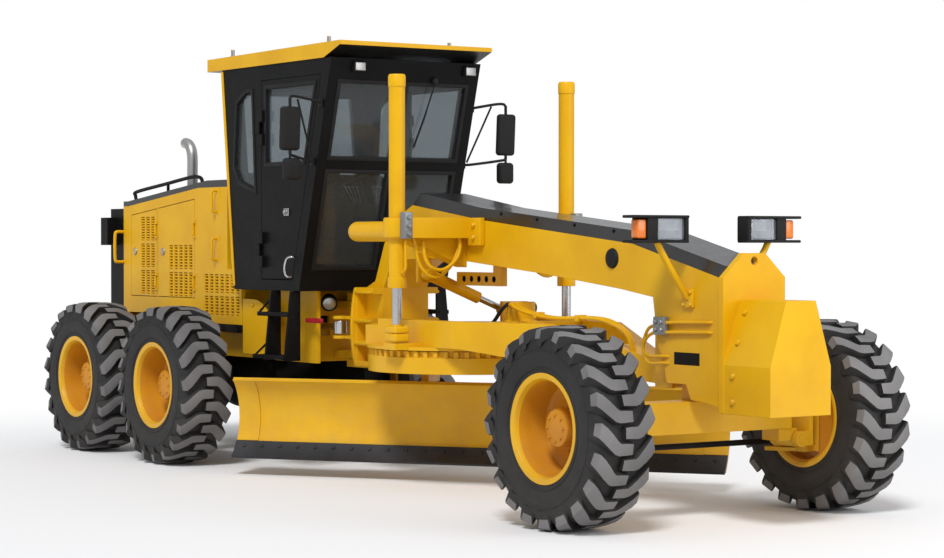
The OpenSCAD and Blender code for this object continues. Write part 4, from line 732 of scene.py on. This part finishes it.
# Mirrors: moulded black housings on bent tube brackets at the cab's front
# corners, with a second small round-cornered mirror below each.
mirror_face = enamel("mirror_face", (0.75, 0.78, 0.8), (0.72, 0.75, 0.77), rough=0.05, peel=0, edge=0, metal=1.0,
                     coat=0)
tilt = about_y(np.array([0.06]))[0]
shell = block((-0.032, -0.085, -0.168), (0.03, 0.085, 0.168), 0.028, 5)
plate = block((-0.037, -0.07, -0.15), (-0.031, 0.07, 0.15), 0.003)
small = block((-0.045, -0.07, -0.085), (0.035, 0.07, 0.085), 0.03, 5)
for s, side in both_sides:
    x, y = -0.288, s * 1.0
    at = (x, y, 2.695)
    upper = [on_front(-0.05, s * cab_y, 2.9), (cab_front(2.9) - 0.02, s * 0.76, 2.915),
             (x - 0.02, y - s * 0.05, 2.945), (x, y - s * 0.005, 2.93), (x, y, 2.86)]
    lower = [on_front(-0.05, s * cab_y, 2.45), (cab_front(2.45), s * 0.76, 2.455), (x - 0.02, y - s * 0.05, 2.485),
             (x, y - s * 0.005, 2.5), (x, y, 2.56)]
    arms = [tube(bend(upper), 0.011), tube(bend(lower), 0.011),
            tube([on_front(-0.03, s * 0.72, 2.47), (x - 0.06, y - s * 0.1, 2.925)], 0.008),
            tube([(x, y, 2.5), (x, y, 2.93)], 0.012)]
    pads = [block((cab_front(z) - 0.076, s * cab_y, z - 0.03), (cab_front(z) - 0.024, s * 0.712, z + 0.03), 0.006)
            for z in (2.45, 2.9)]
    parts = [moved(shell, at, tilt), *arms, *pads, moved(small, (x + 0.01, y - s * 0.01, 2.385)),
             tube([(x, y, 2.42), (x, y, 2.52)], 0.01)]
    piece(f"mirror_{side}", joined(*parts), "rear_body", "black_paint", seal, replaces=("mirrors",))
    piece(f"mirror_face_{side}", moved(plate, at, tilt), "rear_body", "bare_steel", mirror_face)

# Head lamps: black moulded housings with a clear beam lens inboard and an amber
# turn lens outboard, bolted to the stalks on the nose.
clear_lens = pane_glass("lamp_glass", (0.74, 0.76, 0.79))
reflector = enamel("lamp_reflector", (0.46, 0.47, 0.49), (0.3, 0.31, 0.33), rough=0.3, peel=0.6, edge=0.01, metal=0.9,
                   coat=0)
for s, side in both_sides:
    x, y, z = 3.564, s * 0.478, 1.91
    back = block((x - 0.064, y - s * 0.23, z - 0.088), (x - 0.03, y + s * 0.15, z + 0.088), 0.02, 4)
    top = block((x - 0.055, y - 0.231, z + 0.07), (x + 0.064, y + 0.231, z + 0.089), 0.008, 3)
    low = block((x - 0.055, y - 0.231, z - 0.089), (x + 0.06, y + 0.231, z - 0.07), 0.008, 3)
    post = block((x - 0.05, y + s * 0.02, z - 0.08), (x + 0.055, y + s * 0.105, z + 0.08), 0.008)
    wall = block((x - 0.05, y - s * 0.231, z - 0.08), (x + 0.058, y - s * 0.2, z + 0.08), 0.01)
    piece(f"lamp_shell_{side}", joined(back, top, low, post, wall), "front_body", "black_paint", seal,
          replaces=("headlamps",))
    bowl = block((x - 0.03, y - s * 0.197, z - 0.068), (x + 0.03, y + s * 0.018, z + 0.068), 0.012, 4)
    piece(f"lamp_bowl_{side}", bowl, "front_body", "bare_steel", reflector)
    lens = block((x + 0.031, y - s * 0.199, z - 0.069), (x + 0.048, y + s * 0.019, z + 0.069), 0.008, 4)
    piece(f"lamp_lens_{side}", lens, "front_body", "glass", clear_lens)
    amber = block((x - 0.03, y + s * 0.106, z - 0.062), (x + 0.042, y + s * 0.18, z + 0.062), 0.012, 4)
    piece(f"lamp_amber_{side}", amber, "front_body", "black_plastic", amber_lens)
    stalk = tube(bend([(x, y - s * 0.01, 1.828), (x, y - s * 0.05, 1.76), (x, s * 0.29, 1.56), (x, s * 0.215, 1.46)]),
                 0.022)
    foot = block((x - 0.055, s * 0.198, 1.4), (x + 0.055, s * 0.222, 1.52), 0.006)
    nuts = hex_heads([(x + dx, s * 0.222, h) for h in (1.42, 1.5) for dx in (-0.035, 0.035)], (0, s, 0))
    in_yellow(f"lamp_stalk_{side}", joined(stalk, foot, nuts), "front_body")

# Lift cylinders: long yellow barrels with a cap, a gland and a trunnion band, a
# grey check valve at the band, and bright rods that end in a bolted ball cap. Two
# hoses loop from the saddle to each barrel.
valve_grey = enamel("valve_grey", (0.3, 0.31, 0.32), (0.22, 0.23, 0.24), rough=0.4, peel=0.2, edge=0.002, metal=0.5,
                    coat=0)
lift_x, lift_y = 0.877, 0.763
barrel = [(0.036, 1.49), (0.068, 1.49), (0.07, 1.496), (0.07, 1.565), (0.066, 1.57), (0.0598, 1.572), (0.0598, 1.84),
          (0.0598, 2.02), (0.0598, 2.955), (0.064, 2.96), (0.0645, 3.035), (0.056, 3.0495), (0.036, 3.0495)]
ball_r, ball_z = 0.0575, 1.155
ball_arc = [(ball_r * np.cos(t), ball_z + ball_r * np.sin(t)) for t in np.linspace(-1.35, 1.2, 12)]
hose_lines = (((0.985, 0.3, 1.93), (1.01, 0.3, 1.78), (1.02, 0.35, 1.69), (1.02, 0.455, 1.625), (1.02, 0.56, 1.645),
               (1.0, 0.6, 1.72), (0.975, 0.6, 1.83)),
              ((0.975, 0.27, 1.94), (0.98, 0.29, 1.8), (0.985, 0.35, 1.67), (0.985, 0.45, 1.585), (0.985, 0.55, 1.58),
               (0.98, 0.64, 1.68), (0.97, 0.675, 1.86)))
for s, side in both_sides:
    y = s * lift_y
    place = (lift_x, y, 0)
    shell = stand(barrel, place)
    crown = stand([(0, 3.049), (0.036, 3.049), (0.036, 2.9), (0, 2.9)], place)
    band = stand([(0.0605, 1.86), (0.098, 1.862), (0.1, 1.868), (0.1, 1.992), (0.098, 1.998), (0.0605, 2.0)], place)
    ears = hex_heads([(lift_x + 0.1 * np.cos(a), y + 0.1 * np.sin(a), 1.93) for a in (0.5, 2.6)], (0, -s, 0), 0.018,
                     0.016)
    feed = tube(bend([(lift_x + dx, y, z) for dx, z in ((0.07, 1.6), (0.115, 1.63), (0.118, 1.7), (0.118, 1.84))]),
                0.011)
    in_yellow(f"lift_barrel_{side}", joined(shell, crown, feed), "front_body", replaces=("lift_barrels",))
    in_yellow(f"lift_band_{side}", joined(band, ears), "front_body")
    valve = block((lift_x + 0.095, y - 0.035, 1.85), (lift_x + 0.165, y + 0.035, 2.045), 0.006)
    plugs = hex_heads([(lift_x + 0.165, y, z) for z in (1.885, 1.945, 2.005)], (1, 0, 0), 0.018, 0.02)
    piece(f"lift_valve_{side}", joined(valve, plugs), "front_body", "bare_steel", valve_grey)
    shaft = stand([(0, ball_z), (0.0355, ball_z), (0.0355, 2.199), (0, 2.2)], place)
    piece(f"lift_rod_{side}", shaft, "lift_rods_body", "bare_steel", chrome, replaces=("lift_rods",))
    ball = stand([(0, 1.0975), *ball_arc, (0.036, 1.226), (0.036, ball_z), (0, ball_z)], place)
    socket = [block((lift_x - 0.075, y - 0.062, low), (lift_x + 0.075, y + 0.062, high), r, 3)
              for low, high, r in ((1.1, 1.158, 0.012), (1.161, 1.212, 0.014))]
    corners = [(lift_x + i * 0.056, y + j * 0.044, 1.211) for i in (-1, 1) for j in (-1, 1)]
    cap_nuts = hex_heads(corners, (0, 0, 1), 0.011, 0.012)
    in_yellow(f"ball_cap_{side}", joined(ball, *socket, cap_nuts), "lift_rods_body", replaces=("lift_rods",))
    hoses = [tube(bend([(x, s * out, z) for x, out, z in line], 9), 0.013) for line in hose_lines]
    in_yellow(f"lift_hoses_{side}", joined(*hoses), "front_body")
    strap = block((1.03, s * 0.2, 1.8), (1.19, s * 0.245, 2.005), 0.006)
    heads = hex_heads([(1.11, s * 0.245, 1.86), (1.11, s * 0.245, 1.95)], (0, s, 0), 0.02, 0.02)
    in_yellow(f"saddle_strap_{side}", joined(strap, heads), "front_body")

# Front frame: the welded box beam. Bolts hold the weight on its nose and the cover
# on its back, a black disc closes the pipe hole, and grey valves feed pipes that
# run to the axle past an opening in the nose, closed by a matte black panel of painted shade.
disc = lathe([(0, 0.022), (0.05, 0.02), (0.064, 0.012), (0.07, 0.0), (0, 0)], 40)
pipe_run = ((3.35, 0.222, 0), (3.5, 0.216, 0.006), (3.74, 0.214, 0.012), (3.78, 0.208, 0.012), (3.795, 0.19, 0.012))
for s, side in both_sides:
    at, flip = (2.735, s * 0.2, 1.716), np.diag([1, s, 1])
    piece(f"beam_disc_{side}", moved(disc, at, flip), "front_body", "black_plastic", seal)
    low_row = hex_heads([(4.06, s * 0.25, z) for z in (0.815, 0.978)], (0, s, 0), 0.02, 0.016)
    high_row = hex_heads([(4.06, s * (0.25 - 0.128 * (z - 1.046) / 0.413), z) for z in (1.19, 1.38)],
                         (0, s * 0.955, 0.296), 0.02, 0.016)
    in_yellow(f"weight_bolts_{side}", joined(low_row, high_row), "front_body")
    plugs = hex_heads([(x, s * 0.245, z) for z in (1.25, 1.3) for x in (3.265, 3.325)], (0, s, 0), 0.016, 0.014)
    valve = joined(block((3.235, s * 0.2, 1.215), (3.355, s * 0.245, 1.335), 0.008), plugs)
    piece(f"nose_valve_{side}", valve, "front_body", "black_plastic", valve_grey)
    pipes = [tube(bend([(x, s * out, z + up) for x, out, up in pipe_run]), 0.012) for z in (1.232, 1.297)]
    loops = [tube(bend([(3.25, s * 0.222, 1.24 + k), (3.17, s * 0.235, 1.2 + k), (3.12, s * 0.235, 1.13),
                        (3.16, s * 0.222, 1.075 - k), (3.3, s * 0.214, 1.075 - k), (3.36, s * 0.19, 1.075 - k)]),
                  0.011) for k in (0.0, 0.045)]
    in_yellow(f"nose_pipes_{side}", joined(*pipes, *loops), "front_body")
    # A matte black panel in the nose's opening: painted shade for its dark inside.
    window = block((3.405, s * 0.19, 1.024), (3.67, s * 0.2015, 1.108), 0.004)
    piece(f"nose_opening_shade_{side}", window, "front_body", "black_paint", dark)
    row = hex_heads([(1.4 + 0.45 * k, s * 0.2, 2.03 - 0.043 * k) for k in range(4)], (0, s, 0), 0.011, 0.008)
    piece(f"cover_bolts_{side}", row, "front_body", "black_paint", black)

# Frame hinge: the hitch's rear plate bulges out to carry the ribs behind it, matte
# black rings of painted shade line the lock holes, and a red link locks the frame for transport.
# Matte black rings in the lock holes: painted shade for the holes' insides.
hole_shade_ring = lathe([(0.0236, 0.0248), (0.0236, -0.0248), (0.017, -0.0248), (0.017, 0.0248)], 20)
piece("lock_hole_shade", copies(hole_shade_ring, [(0.65 + 0.1 * k, 0, 1.55) for k in range(5)]), "front_body", "black_plastic", dark)
level = np.linspace(0.855, 1.465, 24)
reach = 0.302 + 0.036 * np.clip(np.sin(np.pi * (level - 0.855) / 0.61), 0, 1) ** 0.8
edge_line = np.concatenate([np.stack([reach, level], 1), np.stack([-reach, level], 1)[::-1]])
faces_at = ((-0.508, 0.985), (-0.504, 1), (-0.484, 1), (-0.48, 0.985))
hitch = grid(np.stack([np.stack([np.full(48, x), edge_line[:, 0] * k, edge_line[:, 1]], 1) for x, k in faces_at]),
             caps=True)
hitch_ribs = [block((-0.482, s * 0.21, z), (-0.225, s * 0.318, z + 0.022), 0.004)
              for s in (-1, 1) for z in (1.02, 1.2, 1.425)]
in_yellow("hitch_plate", joined(hitch, *hitch_ribs), "front_body")
red = enamel("red_link", (0.42, 0.012, 0.02), (0.34, 0.01, 0.016), rough=0.4)
link_pins = [tube([(x, y, 1.205), (x, -0.548, 1.205)], 0.018) for x, y in ((-0.83, -0.46), (-0.64, -0.512))]
piece("lock_link", joined(block((-0.85, -0.535, 1.185), (-0.62, -0.52, 1.225), 0.005), *link_pins), "rear_body",
      "black_paint", red)

# Blade: the rolled mouldboard is stiffened along its top edge and at both ends, and
# a row of bolts holds the cutting edges along its lower front.
turned = math.radians(54)
along = np.array([math.sin(turned), math.cos(turned), 0.0])
ahead = np.array([math.cos(turned), -math.sin(turned), 0.0])
middle = np.array([0.68, 0.0, 0.0])


def on_board(y, angle, radius):
    """Points on the blade's curve: y along the blade, angle in degrees up from the middle of the curve, radius from its
    centre."""
    y, angle = np.broadcast_arrays(np.asarray(y, float), np.radians(angle))
    forward = -0.14 + 0.43 - radius * np.cos(angle)
    height = 0.455 + radius * np.sin(angle)
    return middle + y[..., None] * along + forward[..., None] * ahead + height[..., None] * np.array([0, 0, 1.0])


bolt_angle, bolt_r = -33, 0.4096
bolts_at = on_board(np.linspace(-1.9, 1.9, 26), bolt_angle, bolt_r)
outward = on_board(0, bolt_angle, bolt_r - 0.1) - on_board(0, bolt_angle, bolt_r)
piece("edge_bolts", hex_heads(bolts_at, outward, 0.014, 0.008), "blade_body", "edge_steel", edge_steel)
y = np.linspace(-1.9815, 1.9815, 60)
lip = np.stack([on_board(y, a, r) for a, r in ((42.2, 0.4295), (43.9, 0.4295), (43.9, 0.4165), (42.2, 0.4165))], 1)
in_yellow("board_lip", grid(lip, caps=True), "blade_body")
for k, ends in enumerate(((-1.982, -1.8), (1.8, 1.982))):
    y = np.linspace(*ends, 8)
    outer, inner = [on_board(y[:, None], np.linspace(-26, 43, 30)[None], r) for r in (0.4297, 0.4225)]
    bit = grid(np.concatenate([outer, inner[:, ::-1]], 1), caps=True)
    in_yellow(f"end_bit_{k}", bit, "blade_body")

# Circle and drawbar: bolted shoes hold the toothed ring, and a geared motor with
# ribs and two hose ports turns it through a pinion at the ring's front.
motor_x = 1.365
motor = stand([(0, 1.395), (0.05, 1.394), (0.062, 1.38), (0.062, 1.335), (0.106, 1.33), (0.108, 1.322), (0.106, 1.31),
               (0.1065, 1.26), (0.118, 1.255), (0.118, 1.235), (0.1065, 1.23), (0.1065, 1.16), (0.135, 1.155),
               (0.137, 1.13), (0.1055, 1.125), (0, 1.12)], (motor_x, 0, 0), 36)
a = np.arange(8) * np.pi / 4 + 0.2
nuts = hex_heads(np.stack([motor_x + 0.122 * np.cos(a), 0.122 * np.sin(a), 0 * a + 1.155], 1), (0, 0, 1), 0.01, 0.012)
in_yellow("circle_motor", joined(motor, nuts), "drawbar_body")
port_line = ((motor_x, 0.05, 1.36), (motor_x, 0.11, 1.375), (1.33, 0.15, 1.33), (1.22, 0.17, 1.22), (1.00, 0.19, 1.15),
             (0.72, 0.2, 1.14), (0.45, 0.14, 1.16))
ports = [tube(bend([(x, s * y, z) for x, y, z in port_line], 9), 0.014) for s in (-1, 1)]
feeds = [tube(bend([(1.4, -0.08 - k, 1.36), (1.5, -0.14 - k, 1.375), (1.713, -0.19 - k, 1.335),
                    (2.065, -0.2 - k, 1.295), (2.5, -0.19 - k, 1.305), (2.68, -0.15 - k, 1.28),
                    (2.79, -0.1 - k / 2, 1.2), (2.82, -0.07 - k / 2, 1.08)], 9), 0.014) for k in (0, 0.04)]
clamps = [block((x - 0.02, -0.262, z - 0.022), (x + 0.02, -0.178, z + 0.022), 0.006)
          for x, z in ((1.9, 1.31), (2.4, 1.302))]
in_yellow("drawbar_feeds", joined(*feeds, *clamps), "drawbar_body")
piece("motor_hoses", joined(*ports), "drawbar_body", "black_plastic", seal)
shoe_at = [(0.68 + i * 0.48, j * 0.48) for i in (-1, 1) for j in (-1, 1)]
studs = hex_heads([(x + dx, y, 1.0905) for x, y in shoe_at for dx in (-0.03, 0.03)], (0, 0, 1), 0.015, 0.018)
piece("shoe_bolts", studs, "drawbar_body", "bare_steel", bolt_steel)
